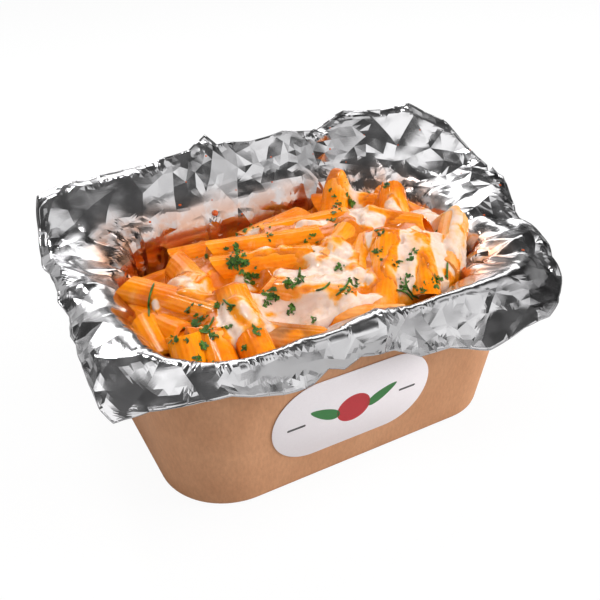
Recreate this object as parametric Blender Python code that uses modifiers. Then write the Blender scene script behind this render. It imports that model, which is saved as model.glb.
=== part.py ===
# Penne bake with melted cheese in a foil-lined kraft paper tray.
# Metres, +Z up. The origin is the middle of the tray's flat bottom, +X runs along the
# long side and -Y is the front, where the sticker is.
import math
import random

import bmesh
import bpy
from mathutils import Matrix, Vector, noise
from mathutils.bvhtree import BVHTree

MM = 0.001

# Tray: a tapered paper bowl with round corners and a rolled rim
TRAY_LENGTH, TRAY_WIDTH, TRAY_HEIGHT = 172 * MM, 120 * MM, 73 * MM
TRAY_TAPER = 8.7 * MM
TOP_CORNER, BOTTOM_CORNER = 34 * MM, 28.7 * MM
PAPER = 0.6 * MM
BEAD_RADIUS = 1.5 * MM
CORNER_STEPS, SIDE_STEPS = 8, 4

# Sticker on the front wall
STICKER_WIDTH, STICKER_HEIGHT = 71.6 * MM, 38 * MM
STICKER_MIDDLE_X, STICKER_MIDDLE_UP = -8 * MM, 33.8 * MM
STICKER_THICKNESS = 0.2 * MM
STICKER_STEPS = 12

GAP = 0.3 * MM

# Foil: pressed into the tray, turned over the rim and flared out
FOIL = 0.4 * MM
FOIL_COLUMNS = 72
FOIL_SEED = 11
LIP_RADIUS = BEAD_RADIUS + GAP + FOIL / 2 + 0.2 * MM
WALL_CRUMPLE, FLARE_CRUMPLE = 2.0 * MM, 3.6 * MM
# Each row: height in mm and how much of the reach over the food it takes
WALL_ROWS = ((5, 0.1), (26, 0.5), (44, 0.85), (57, 1.0), (65, 1.0), (69.5, 0.8))
LIP_ROWS = 3
FLARE_ROWS = 5
# Each row: where round the rim in mm from the front's middle, anticlockwise seen from
# above, the flare's length in mm, its rise above level in degrees, and how far in mm the
# foil reaches in over the food before it turns down.
FLARE = (
    (0, 12.5, -55, 1.5), (24, 19, -43, 4), (36, 23.5, -39, 6), (49, 23.5, -26, 11), (64, 23.5, -10, 17),
    (72, 19.5, -5, 18), (84, 12.5, 5, 18), (96, 13.5, 9, 14), (108, 17.5, 12, 9), (120, 24, 16, 4),
    (132, 30, 22, 3), (160, 33.5, 38, 4), (170, 39.5, 41, 5), (180, 46, 48, 6), (188, 42, 51, 6),
    (200, 38, 56, 5), (210, 32.5, 60, 3), (240, 30.5, 60, 3), (250, 31.5, 60, 3), (260, 30.5, 58, 4),
    (271, 35.5, 56, 3), (284, 32.5, 54, 4), (300, 28, 52, 4), (328, 29, 44, 8), (338, 33.5, 34, 11),
    (346, 23, 25, 13), (360, 12.5, 10, 15), (378, 12, 5, 13), (396, 15, 0, 9), (426, 17.5, -10, 3),
    (434, 20, -14, 2), (440, 25, -20, 1.5), (446, 18, -25, 1.5), (456, 13, -37, 2), (466, 11, -46, 3),
    (480, 12, -51, 4), (492, 14, -55, 6), (504, 11, -53, 8), (512, 10.5, -52, 9), (519, 12, -54, 8),
)
FOIL_TIPS = (64, 180, 338, 440)

# Heap of penne: a lumpy core with the tubes that show fused on
CAVITY_INSET, CAVITY_STEPS = 4.1 * MM, 8
PENNE_RADIUS, PENNE_BORE = 6.3 * MM, 4.5 * MM
PENNE_SIDES = 10
PENNE_SLANT = math.radians(38)
BORE_DEPTH = 9 * MM
CORE_RINGS = 7
BED_HEIGHT, BED_SPREAD, BED_DROP = 62 * MM, 8 * MM, 3.5 * MM
# Each row: name, middle x, y, z, heading, climb, length, open end (0 none, 1 far, -1 near)
# and the roll, which turns the slanted ends
PENNE = (
    ("left_long", -62.5, -3.5, 70, -54, -1, 46, 0, 0),
    ("left_under", -67, -15, 64, -70, 5, 38, 0, 200),
    ("left_open", -73, -24, 62, -87, -14, 26, 1, 180),
    ("front_left_stub", -67, -42, 67, -99, -24, 30, -1, 10),
    ("front_ridge", -43, -35, 70.5, -98, -14, 46, 0, 0),
    ("front_low", -58, -44, 67, -99, -12, 28, 0, 0),
    ("left_back_stub", -46, 15, 66.5, -90, 4, 34, 0, 60),
    ("long_middle", -7, 11, 72.5, -20, 4, 54, 1, 0),
    ("long_front", -13, 2, 70, -17, 3, 48, 0, 120),
    ("long_back", 17, 18, 73.5, -14, 4, 46, 0, 0),
    ("tip_back", 34.5, 30, 70.5, -128, -34, 30, 0, 180),
    ("tip_right", 55.5, 9, 70.3, -118, -26, 36, 0, 180),
    ("open_right", 49.5, -4, 75.5, -46, -4, 30, 1, 180),
    ("middle_tip", 11, -6, 71.5, -150, -14, 28, 0, 180),
    ("middle_dark", 18, -17, 70, -132, -9, 32, 0, 180),
    ("right_column", 24, -26, 71.5, -127, -19, 46, 0, 180),
    ("right_cheesy", 40, -30, 69.5, -118, -18, 38, 0, 0),
    ("right_mound", 58, -26, 69.5, -137, -20, 36, 0, 180),
    ("far_right", 70, 8, 67, -80, -6, 30, 0, 90),
    ("front_brown", -30, -46, 65, -38, 0, 30, 0, 70),
    ("front_middle", 0, -45, 64, -30, 0, 34, 0, 30),
    ("under_cheese", -14, -24, 67.5, -46, 0, 40, 0, 0),
    ("back_low_left", -55, 36, 53, 20, -4, 40, 1, 160),
    ("back_low_middle", -20, 40, 60, -16, 6, 44, -1, 20),
    ("back_middle", 10, 38, 66, 12, 4, 42, 1, 170),
    ("back_right", 50, 34, 70, -30, 0, 40, 1, 190),
    ("back_corner", 68, 26, 66, 80, 6, 30, 0, 0),
)

# Melted cheese: each row is name, middle x, y, half length, half width, heading, thickness
CHEESE = (
    ("melted_cheese_middle", -9, -24, 30, 19, -36, 2.0),
    ("melted_cheese_right", 57, -27, 17, 13, -40, 2.2),
    ("melted_cheese_column", 25, -25, 24, 10, -130, 1.6),
    ("melted_cheese_back", 36, 11, 15, 11, 60, 1.6),
    ("melted_cheese_left", -44, -34, 18, 11, -98, 1.6),
)
CHEESE_DEPTH = 5 * MM
CHEESE_SEGMENTS, CHEESE_RINGS = 20, 10
EVEN_REACH = 3 * MM

# Chopped parsley: each row is a cluster's middle x, y in mm, how many flakes and their spread
PARSLEY = (
    (-25, 2, 6, 8), (-14, -10, 4, 6), (-8, -22, 4, 6), (-17, -33, 3, 4), (-1, -15, 2, 4),
    (14, -26, 3, 5), (8, 18, 2, 9), (33, -4, 1, 3), (54, -36, 4, 7), (-63, -8, 2, 6),
    (-58, -34, 3, 6), (-48, -22, 2, 6), (40, 16, 2, 5), (48, -22, 2, 5), (22, 30, 2, 6),
)
PARSLEY_SEED = 5
FLAKE_SIZE = (1.6 * MM, 2.7 * MM)
FLAKE_THICKNESS = 0.7 * MM
FLAKE_SIDES = 6


def clear_scene():
    for obj in list(bpy.data.objects):
        bpy.data.objects.remove(obj)


def collection(name):
    made = bpy.data.collections.new(name)
    bpy.context.scene.collection.children.link(made)
    return made


def material(name, colour, roughness, metallic=0.0):
    made = bpy.data.materials.new(name)
    made.use_nodes = True
    shader = made.node_tree.nodes["Principled BSDF"]
    shader.inputs["Base Color"].default_value = (*colour, 1)
    shader.inputs["Roughness"].default_value = roughness
    shader.inputs["Metallic"].default_value = metallic
    return made


def object_from(bm, name, home, finish=None, turn_out=True):
    mesh = bpy.data.meshes.new(name)
    if turn_out:
        bmesh.ops.recalc_face_normals(bm, faces=bm.faces)
    bm.to_mesh(mesh)
    bm.free()
    obj = bpy.data.objects.new(name, mesh)
    home.objects.link(obj)
    if finish:
        mesh.materials.append(finish)
    return obj


def helper(obj):
    obj.hide_render = True
    obj.display_type = "WIRE"
    return obj


def apply_modifiers(obj):
    """Keeps the evaluated mesh, and takes the modifiers off."""
    graph = bpy.context.evaluated_depsgraph_get()
    mesh = bpy.data.meshes.new_from_object(obj.evaluated_get(graph))
    obj.modifiers.clear()
    obj.data = mesh
    return obj


def weld_curve(obj):
    """The curve as a closed mesh in place of the curve object."""
    graph = bpy.context.evaluated_depsgraph_get()
    mesh = bpy.data.meshes.new_from_object(obj.evaluated_get(graph))
    bm = bmesh.new()
    bm.from_mesh(mesh)
    bmesh.ops.remove_doubles(bm, verts=bm.verts, dist=0.01 * MM)
    bmesh.ops.recalc_face_normals(bm, faces=bm.faces)
    bm.to_mesh(mesh)
    bm.free()
    name, home = obj.name, obj.users_collection[0]
    solid = bpy.data.objects.new(name + "_solid", mesh)
    solid.matrix_world = obj.matrix_basis
    home.objects.link(solid)
    bpy.data.objects.remove(obj)
    solid.name = name
    return solid


def rim_lengths():
    """Lengths of the rim's straight and round stretches, from the front's middle round."""
    half_x, half_y = TRAY_LENGTH / 2 - TOP_CORNER, TRAY_WIDTH / 2 - TOP_CORNER
    quarter = math.pi / 2 * TOP_CORNER
    return (half_x, quarter, 2 * half_y, quarter, 2 * half_x, quarter, 2 * half_y, quarter, half_x)


def outline_point(along, height, outset=0.0):
    """A point of the tray's outer wall and its outward direction: along runs round the rim."""
    share = height / TRAY_HEIGHT
    taper = TRAY_TAPER * (1 - share)
    corner = BOTTOM_CORNER + (TOP_CORNER - BOTTOM_CORNER) * share
    half_x, half_y = TRAY_LENGTH / 2 - taper - corner, TRAY_WIDTH / 2 - taper - corner
    rest = along % sum(rim_lengths())
    for index, length in enumerate(rim_lengths()):
        if rest <= length:
            break
        rest -= length
    part = rest / length
    starts = (-90, -90, 0, 0, 90, 90, 180, 180, 270)
    turn = math.radians(starts[index] + (90 * part if index % 2 else 0))
    out = Vector((math.cos(turn), math.sin(turn), 0))
    if index % 2:
        sign_x = 1 if index in (1, 3) else -1
        sign_y = 1 if index in (3, 5) else -1
        middle = Vector((sign_x * half_x, sign_y * half_y, height))
    else:
        middle = {
            0: Vector((half_x * part, -half_y, height)),
            2: Vector((half_x, half_y * (2 * part - 1), height)),
            4: Vector((half_x * (1 - 2 * part), half_y, height)),
            6: Vector((-half_x, half_y * (1 - 2 * part), height)),
            8: Vector((-half_x * (1 - part), -half_y, height)),
        }[index]
    return middle + out * (corner + outset), out


def even_marks(side_steps=SIDE_STEPS):
    """Places round the rim with the steps that the straight and round stretches need."""
    marks, start = [], 0.0
    for index, length in enumerate(rim_lengths()):
        steps = CORNER_STEPS if index % 2 else (side_steps // 2 if index in (0, 8) else side_steps)
        marks += [start + length * step / steps for step in range(steps)]
        start += length
    return marks


def bridge(bm, lower, upper):
    count = len(lower)
    for i in range(count):
        j = (i + 1) % count
        bm.faces.new((lower[i], lower[j], upper[j], upper[i]))


def loft(rings, name, home, finish=None):
    """A closed solid through rings of the same count, capped at both ends."""
    bm = bmesh.new()
    loops = [[bm.verts.new(point) for point in ring] for ring in rings]
    for lower, upper in zip(loops, loops[1:]):
        bridge(bm, lower, upper)
    bm.faces.new(loops[0])
    bm.faces.new(loops[-1])
    bmesh.ops.triangulate(bm, faces=bm.faces)
    return object_from(bm, name, home, finish)


def tray_ring(height, outset=0.0):
    return [outline_point(mark, height, outset)[0] for mark in even_marks()]


def build_tray(home, finish):
    """Outer wall, rolled rim bead, inner wall and floor, as one loft."""
    bead_height = TRAY_HEIGHT - BEAD_RADIUS
    rings = [tray_ring(0, -0.8 * MM), tray_ring(0.8 * MM), tray_ring(bead_height - BEAD_RADIUS)]
    for turn in range(-60, 121, 30):
        lift = bead_height + BEAD_RADIUS * math.sin(math.radians(turn))
        rings.append([
            Vector((*point.xy, lift))
            for point in tray_ring(bead_height, BEAD_RADIUS * math.cos(math.radians(turn)))
        ])
    rings += [tray_ring(bead_height - BEAD_RADIUS, -PAPER), tray_ring(PAPER, -PAPER)]
    return loft(rings, "kraft_tray", home, finish)


def build_sticker(home, finish):
    """A stadium of paper along the sloping front wall, from a flat filled curve."""
    radius = STICKER_HEIGHT / 2
    straight = STICKER_WIDTH / 2 - radius
    curve = bpy.data.curves.new("front_sticker", "CURVE")
    curve.dimensions = "2D"
    curve.fill_mode = "BOTH"
    curve.extrude = STICKER_THICKNESS / 2
    spline = curve.splines.new("POLY")
    turns = [math.radians(-90 + 180 * step / STICKER_STEPS) for step in range(STICKER_STEPS + 1)]
    outline = [(straight + radius * math.cos(turn), radius * math.sin(turn)) for turn in turns]
    outline += [(-x, -y) for x, y in outline]
    spline.points.add(len(outline) - 1)
    for point, (x, y) in zip(spline.points, outline):
        point.co = (x, y, 0, 1)
    spline.use_cyclic_u = True
    lean = math.atan2(TRAY_TAPER, TRAY_HEIGHT)
    up_wall = Vector((0, -math.sin(lean), math.cos(lean)))
    out_wall = Vector((0, -math.cos(lean), -math.sin(lean)))
    foot = Vector((STICKER_MIDDLE_X, -(TRAY_WIDTH / 2 - TRAY_TAPER), 0))
    obj = bpy.data.objects.new("front_sticker", curve)
    obj.rotation_euler = (math.pi / 2 + lean, 0, 0)
    obj.location = foot + up_wall * STICKER_MIDDLE_UP + out_wall * (GAP + STICKER_THICKNESS / 2)
    home.objects.link(obj)
    curve.materials.append(finish)
    return weld_curve(obj)


def flare_at(along):
    """Length, rise and reach of the foil here, between the rows of the table."""
    whole = sum(rim_lengths())
    place = (along % whole) / MM
    rows = list(FLARE) + [(FLARE[0][0] + whole / MM, *FLARE[0][1:])]
    for before, after in zip(rows, rows[1:]):
        if before[0] <= place <= after[0]:
            share = (place - before[0]) / (after[0] - before[0])
            length, rise, reach = (before[k] + (after[k] - before[k]) * share for k in (1, 2, 3))
            return length * MM, math.radians(rise), reach * MM
    raise ValueError("the table of the flare has a gap")


def foil_section(along):
    """The foil's section here, from floor to edge: point, food-side normal and how free it is."""
    length, rise, reach = flare_at(along)
    inset = PAPER + GAP + FOIL
    rows = []
    floor_height = PAPER + GAP + FOIL / 2
    spot, out = outline_point(along, floor_height, -inset - 3 * MM)
    up = Vector((0, 0, 1))
    rows.append((Vector((*spot.xy, floor_height)), up, 0.0))
    for height, share in WALL_ROWS:
        spot, out = outline_point(along, height * MM, -inset - share * reach)
        lean = math.atan2(reach, 8 * MM) if height > 60 else 0.0
        normal = up * math.sin(lean) - out * math.cos(lean)
        rows.append((spot, normal, WALL_CRUMPLE * min(1.0, height / 50)))
    bead_height = TRAY_HEIGHT - BEAD_RADIUS
    first = math.pi / 2 + math.atan2(8 * MM, reach)
    rim, out = outline_point(along, bead_height)
    for step in range(LIP_ROWS):
        turn = first + (math.pi / 2 + rise - first) * step / (LIP_ROWS - 1)
        normal = out * math.cos(turn) + up * math.sin(turn)
        rows.append((rim + normal * LIP_RADIUS, normal, 0.15 * MM))
    edge = rows[-1][0]
    direction = out * math.cos(rise) + up * math.sin(rise)
    normal = up * math.cos(rise) - out * math.sin(rise)
    for step in range(1, FLARE_ROWS + 1):
        reach = length * step / FLARE_ROWS
        free = min(1.0, reach / (9 * MM))
        rows.append((edge + direction * reach, normal, FLARE_CRUMPLE * free))
    return rows


def build_foil(home, finish):
    """A crumpled sheet: a jittered grid round the rim, as an open surface with a thickness."""
    draw = random.Random(FOIL_SEED)
    whole = sum(rim_lengths())
    count = FOIL_COLUMNS
    rows = 1 + len(WALL_ROWS) + LIP_ROWS + FLARE_ROWS
    first_lip = 1 + len(WALL_ROWS)
    first_flare = first_lip + LIP_ROWS
    tips = {round(tip * MM / whole * count): tip * MM for tip in FOIL_TIPS}
    points = []
    for column in range(count):
        line = []
        for row in range(rows):
            wander = 0.34 if row >= first_flare else 0.2 if row > 2 else 0.0
            along = whole * (column + draw.uniform(-wander, wander)) / count
            if row > first_flare and column in tips:
                along = tips[column]
            section = foil_section(along)
            spot, normal, free = section[row]
            if row >= first_flare and row < rows - 1:
                spot = spot + (section[row + 1][0] - section[row][0]) * draw.uniform(-0.3, 0.3)
            lift = draw.uniform(-1, 1) if row >= first_flare else draw.uniform(0, 1)
            line.append(spot + normal * free * lift)
        points.append(line)
    bm = bmesh.new()
    verts = [[bm.verts.new(spot) for spot in line] for line in points]
    for i in range(count):
        j = (i + 1) % count
        for row in range(rows - 1):
            a, b, c, d = verts[i][row], verts[j][row], verts[j][row + 1], verts[i][row + 1]
            if draw.random() < 0.5:
                bm.faces.new((a, b, c))
                bm.faces.new((a, c, d))
            else:
                bm.faces.new((a, b, d))
                bm.faces.new((b, c, d))
    bm.faces.new([verts[i][0] for i in range(count)])
    obj = object_from(bm, "foil_liner", home, finish)
    sheet = obj.modifiers.new("sheet", "SOLIDIFY")
    sheet.thickness = FOIL
    sheet.offset = 0
    return obj


def penne_axis(row):
    """Middle and direction of a tube of the table."""
    x, y, z, heading, climb = row[1:6]
    flat = math.cos(math.radians(climb))
    direction = Vector((
        flat * math.cos(math.radians(heading)), flat * math.sin(math.radians(heading)),
        math.sin(math.radians(climb))))
    return Vector((x, y, z)) * MM, direction


def core_height(x, y):
    """Top of the heap's core: the near tubes' axes, evened out and let down a little."""
    total, weights = BED_HEIGHT * 1e-3, 1e-3
    for row in PENNE:
        middle, direction = penne_axis(row)
        for step in (-0.35, 0, 0.35):
            spot = middle + direction * row[6] * MM * step
            weight = math.exp(-((spot.x - x) ** 2 + (spot.y - y) ** 2) / (2 * BED_SPREAD ** 2))
            total += weight * spot.z
            weights += weight
    return total / weights - BED_DROP + 1.2 * MM * noise.noise(Vector((x, y, 0)) * 90)


def cavity_ring(height, extra=0.0):
    """Outline of the room inside the liner at this height, clear of its crumples."""
    top = WALL_ROWS[-2]
    share = top[1]
    for lower, upper in zip(((0, 0.0),) + WALL_ROWS, WALL_ROWS[:-1]):
        if lower[0] * MM <= height <= upper[0] * MM:
            share = lower[1] + (upper[1] - lower[1]) * (height / MM - lower[0]) / (upper[0] - lower[0])
            break
    level = min(height, TRAY_HEIGHT)
    points = []
    for mark in even_marks(CAVITY_STEPS):
        reach = max(flare_at(mark + shift * MM)[2] for shift in (-6, -3, 0, 3, 6))
        inset = CAVITY_INSET + extra + share * reach
        points.append(Vector((*outline_point(mark, level, -inset)[0].xy, height)))
    return points


def build_core(home):
    floor = PAPER + 2 * GAP + FOIL + 0.1 * MM
    rings = [cavity_ring(floor, 4 * MM), cavity_ring(8 * MM, MM), cavity_ring(40 * MM, MM)]
    outer = cavity_ring(57 * MM, MM)
    for ring in range(CORE_RINGS):
        share = 1 - 0.93 * ring / (CORE_RINGS - 1)
        drop = 5 * MM if ring == 0 else 0
        rings.append([
            Vector((p.x * share, p.y * share, core_height(p.x * share, p.y * share) - drop))
            for p in outer
        ])
    return loft(rings, "heap_core", home)


def build_cavity(home):
    """The room inside the liner, which trims what would reach the foil."""
    floor = PAPER + 2 * GAP + FOIL
    heights = (8, 26, 44, 57, 65, 120)
    rings = [cavity_ring(floor, 2 * MM)] + [cavity_ring(height * MM) for height in heights]
    return helper(loft(rings, "cavity", home))


def slanted_tube(bm, length, open_end):
    """A penne along X with both ends cut on the slant, and a blind bore at the open end."""
    bmesh.ops.create_cone(
        bm, cap_ends=True, segments=PENNE_SIDES, radius1=PENNE_RADIUS, radius2=PENNE_RADIUS, depth=length)
    bmesh.ops.rotate(bm, verts=bm.verts, matrix=Matrix.Rotation(math.pi / 2, 3, "Y"))
    bm.normal_update()
    if open_end:
        caps = [face for face in bm.faces if face.normal.x * open_end > 0.9]
        bmesh.ops.inset_individual(bm, faces=caps, thickness=PENNE_RADIUS - PENNE_BORE)
        bore = bmesh.ops.extrude_discrete_faces(bm, faces=caps)["faces"][0]
        for vert in bore.verts:
            vert.co.x -= open_end * BORE_DEPTH
    for vert in bm.verts:
        vert.co.x += vert.co.z * math.tan(PENNE_SLANT)


def build_penne(home):
    for name, x, y, z, heading, climb, length, open_end, roll in PENNE:
        bm = bmesh.new()
        slanted_tube(bm, (length - 6) * MM, open_end)
        turn = Matrix.Rotation(math.radians(heading), 4, "Z") @ Matrix.Rotation(-math.radians(climb), 4, "Y")
        turn = turn @ Matrix.Rotation(math.radians(roll), 4, "X")
        bm.transform(Matrix.Translation(Vector((x, y, z)) * MM) @ turn)
        object_from(bm, "penne_" + name, home)


def join_boolean(obj, operation, other, solver="EXACT"):
    modifier = obj.modifiers.new("join", "BOOLEAN")
    modifier.operation = operation
    modifier.solver = solver
    if isinstance(other, bpy.types.Collection):
        modifier.operand_type = "COLLECTION"
        modifier.collection = other
    else:
        modifier.object = other
    return apply_modifiers(obj)


def empty_collection(home):
    for obj in list(home.objects):
        bpy.data.objects.remove(obj)
    bpy.data.collections.remove(home)


def keep_largest(obj):
    """Drops loose scraps that a cut has left, and fills hollows that fusing has sealed."""
    bm = bmesh.new()
    bm.from_mesh(obj.data)
    unseen, groups = set(bm.verts), []
    while unseen:
        stack, group = [unseen.pop()], set()
        while stack:
            vert = stack.pop()
            group.add(vert)
            for edge in vert.link_edges:
                other = edge.other_vert(vert)
                if other in unseen:
                    unseen.discard(other)
                    stack.append(other)
        groups.append(group)
    groups.sort(key=len)
    for group in groups[:-1]:
        bmesh.ops.delete(bm, geom=list(group), context="VERTS")
    bm.to_mesh(obj.data)
    bm.free()
    return obj


def surface_of(obj):
    bm = bmesh.new()
    bm.from_mesh(obj.data)
    tree = BVHTree.FromBMesh(bm)
    bm.free()
    return tree


def height_on(tree, x, y):
    found = tree.ray_cast(Vector((x, y, 200 * MM)), Vector((0, 0, -1)))
    return found[0].z if found[0] else 50 * MM


def even_height(tree, x, y):
    """Height of the heap here, evened out over a few millimetres."""
    total = height_on(tree, x, y)
    for step in range(8):
        angle = math.tau * step / 8
        total += height_on(tree, x + EVEN_REACH * math.cos(angle), y + EVEN_REACH * math.sin(angle))
    return total / 9


def cheese_spot(row, ball, outset=0.0):
    """Where a point of the flattened ball falls in plan, on the patch's uneven outline."""
    _, x, y, half_length, half_width, heading, _ = row
    angle = math.atan2(ball.y, ball.x)
    wobble = 1 + 0.2 * noise.noise(Vector((x + math.cos(angle), y + math.sin(angle), 0)) * 1.3)
    size = (half_length * MM * wobble + outset, half_width * MM * wobble + outset)
    turn = Matrix.Rotation(math.radians(heading), 3, "Z")
    return Vector((x, y, 0)) * MM + turn @ Vector((size[0] * ball.x, size[1] * ball.y, 0))


def cheese_solid(home, helpers, tree, row, finish):
    """Half a flattened ball with an uneven outline, draped over the heap, with a flat underside."""
    name, thickness = row[0], row[6] * MM
    bm = bmesh.new()
    bmesh.ops.create_uvsphere(bm, u_segments=CHEESE_SEGMENTS, v_segments=CHEESE_RINGS, radius=1)
    bmesh.ops.triangulate(bm, faces=bm.faces)
    spots = [cheese_spot(row, vert.co) for vert in bm.verts]
    heights = [even_height(tree, spot.x, spot.y) for spot in spots]
    underside = min(heights) - CHEESE_DEPTH
    for vert, spot, height in zip(bm.verts, spots, heights):
        top = height + thickness * vert.co.z
        vert.co = Vector((spot.x, spot.y, top if vert.co.z > -0.01 else underside + 2 * MM * (1 + vert.co.z)))
    patch = object_from(bm, name, home, finish, False)
    angles = [math.tau * step / CHEESE_SEGMENTS for step in range(CHEESE_SEGMENTS)]
    outline = [cheese_spot(row, Vector((math.cos(a), math.sin(a), 0)), 1.6 * GAP) for a in angles]
    levels = (underside - 1.6 * GAP, 120 * MM)
    rings = [[Vector((*spot.xy, level)) for spot in outline] for level in levels]
    return patch, helper(loft(rings, name + "_bed", helpers))


def add_parsley(targets, home):
    """Small bent flakes, fused to the one node that lies under the whole of each flake."""
    draw = random.Random(PARSLEY_SEED)
    trees = {obj.name: surface_of(obj) for obj in targets}
    lists = {obj.name: [] for obj in targets}
    for x, y, count, spread in PARSLEY:
        for _ in range(count):
            spot = Vector((draw.gauss(x, spread / 2), draw.gauss(y, spread / 2), 0)) * MM
            reach = draw.uniform(*FLAKE_SIZE)
            turn, bend = draw.uniform(0, math.tau), draw.uniform(0.1, 0.35)
            under = set()
            for step in range(6):
                angle = math.tau * step / 6
                probe = spot + Vector((math.cos(angle), math.sin(angle), 0)) * (reach + 2 * GAP)
                heights = {name: height_on(tree, probe.x, probe.y) for name, tree in trees.items()}
                under.add(max(heights, key=heights.get))
            name = under.pop()
            hit = trees[name].ray_cast(Vector((spot.x, spot.y, 200 * MM)), Vector((0, 0, -1)))
            if under or hit[0] is None or hit[1].z < 0.35:
                continue
            if any((hit[0] - other[0]).length < reach + other[2] + GAP for other in lists[name]):
                continue
            lists[name].append((hit[0], hit[1], reach, turn, bend))
    for obj in targets:
        flakes = collection("flakes")
        for place, normal, reach, turn, bend in lists[obj.name]:
            bm = bmesh.new()
            bmesh.ops.create_cone(
                bm, cap_ends=True, cap_tris=True, segments=FLAKE_SIDES, radius1=reach, radius2=reach,
                depth=FLAKE_THICKNESS)
            for vert in bm.verts:
                tooth = 1.0 if round(math.atan2(vert.co.y, vert.co.x) * 3 / math.pi) % 2 else 0.6
                vert.co.xy *= tooth
                vert.co.z += bend * abs(vert.co.x)
            lean = normal.to_track_quat("Z", "Y").to_matrix().to_4x4()
            bm.transform(Matrix.Translation(place) @ lean @ Matrix.Rotation(turn, 4, "Z"))
            object_from(bm, "flake", flakes)
        if flakes.objects:
            keep_largest(join_boolean(obj, "UNION", flakes))
        empty_collection(flakes)


def main():
    clear_scene()
    home = collection("baked_penne_in_tray")
    helpers = collection("cutters")
    kraft = material("kraft_paper", (0.47, 0.26, 0.14), 0.75)
    paper = material("sticker_paper", (0.62, 0.58, 0.60), 0.45)
    foil = material("aluminium_foil", (0.82, 0.82, 0.84), 0.2, 1.0)
    pasta = material("sauced_penne", (0.85, 0.30, 0.03), 0.35)
    cheese = material("melted_cheese", (0.83, 0.62, 0.46), 0.4)

    build_tray(home, kraft)
    build_sticker(home, paper)
    build_foil(home, foil)

    heap = build_core(home)
    pieces = collection("penne_pieces")
    build_penne(pieces)
    join_boolean(heap, "UNION", pieces)
    empty_collection(pieces)
    cavity = build_cavity(helpers)
    join_boolean(heap, "INTERSECT", cavity)
    heap.name = "penne_heap"
    heap.data.materials.clear()
    heap.data.materials.append(pasta)
    tree = surface_of(heap)
    cutters, toppings = [], []
    for row in CHEESE:
        patch, cutter = cheese_solid(home, helpers, tree, row, cheese)
        join_boolean(heap, "DIFFERENCE", cutter)
        for earlier in cutters:
            join_boolean(patch, "DIFFERENCE", earlier)
        join_boolean(patch, "INTERSECT", cavity)
        keep_largest(patch)
        cutters.append(cutter)
        toppings.append(patch)
    keep_largest(heap)
    add_parsley([heap] + toppings, home)


main()
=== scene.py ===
import math
import random

import bmesh
import bpy
import numpy as np
from mathutils import Matrix, Vector
from mathutils.bvhtree import BVHTree
from mathutils.geometry import delaunay_2d_cdt


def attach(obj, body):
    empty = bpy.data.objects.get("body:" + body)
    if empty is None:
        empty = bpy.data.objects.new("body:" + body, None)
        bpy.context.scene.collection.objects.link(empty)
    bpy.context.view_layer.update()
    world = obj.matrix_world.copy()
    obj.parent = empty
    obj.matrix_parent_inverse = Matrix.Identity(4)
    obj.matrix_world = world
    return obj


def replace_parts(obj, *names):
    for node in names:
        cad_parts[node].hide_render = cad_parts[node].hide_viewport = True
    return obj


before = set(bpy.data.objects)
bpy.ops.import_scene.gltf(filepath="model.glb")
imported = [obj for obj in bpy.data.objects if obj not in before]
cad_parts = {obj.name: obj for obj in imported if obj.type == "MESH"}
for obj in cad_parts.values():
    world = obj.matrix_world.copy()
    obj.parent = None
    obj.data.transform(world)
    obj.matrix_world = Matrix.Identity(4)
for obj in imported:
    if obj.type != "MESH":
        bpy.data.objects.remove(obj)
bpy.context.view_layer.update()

MM = 0.001

# Camera, worked out from the tray's outline in the photograph
CAMERA_PLACE = (-132.07, -236.15, 213.61)
CAMERA_AZIMUTH, CAMERA_ELEVATION, CAMERA_ROLL = -29.08, 31.23, -0.28
FOCAL_PIXELS, FRAME_PIXELS, SENSOR = 720.11, 600, 36.0

# The tray's outline, as in the solids
TRAY_LENGTH, TRAY_WIDTH, TRAY_HEIGHT, TRAY_TAPER = 172, 120, 73, 8.7
TOP_CORNER, BOTTOM_CORNER = 34, 28.7
PAPER, BEAD_RADIUS, GAP, FOIL = 0.6, 1.5, 0.3, 0.4
STICKER_WIDTH, STICKER_HEIGHT, STICKER_X, STICKER_UP = 71.6, 38, -8, 33.8

# The foil: place round the rim, flare length, rise in degrees, reach in over the food
FLARE = (
    (0, 12.5, -55, 1.5), (24, 19, -43, 4), (36, 23.5, -39, 6), (49, 23.5, -26, 11), (64, 23.5, -10, 17),
    (72, 19.5, -5, 18), (84, 12.5, 5, 18), (96, 13.5, 9, 14), (108, 17.5, 12, 9), (120, 24, 16, 4),
    (132, 30, 22, 3), (160, 33.5, 38, 4), (170, 39.5, 41, 5), (180, 46, 48, 6), (188, 42, 51, 6),
    (200, 38, 56, 5), (210, 32.5, 60, 3), (240, 30.5, 60, 3), (250, 31.5, 60, 3), (260, 30.5, 58, 4),
    (271, 35.5, 56, 3), (284, 32.5, 54, 4), (300, 28, 52, 4), (328, 29, 44, 8), (338, 33.5, 34, 11),
    (346, 23, 25, 13), (360, 12.5, 10, 15), (378, 12, 5, 13), (396, 15, 0, 9), (426, 17.5, -10, 3),
    (434, 20, -14, 2), (440, 25, -20, 1.5), (446, 18, -25, 1.5), (456, 13, -37, 2), (466, 11, -46, 3),
    (480, 12, -51, 4), (492, 14, -55, 6), (504, 11, -53, 8), (512, 10.5, -52, 9), (519, 12, -54, 8),
)
FOIL_TIPS = (64, 180, 338, 440)
WALL_ROWS = ((5, 0.1), (26, 0.5), (44, 0.85), (57, 1.0), (65, 1.0), (69.5, 0.8))
LIP_RADIUS = BEAD_RADIUS + GAP + FOIL / 2 + 0.2
WALL_SPAN = 70.0

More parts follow.
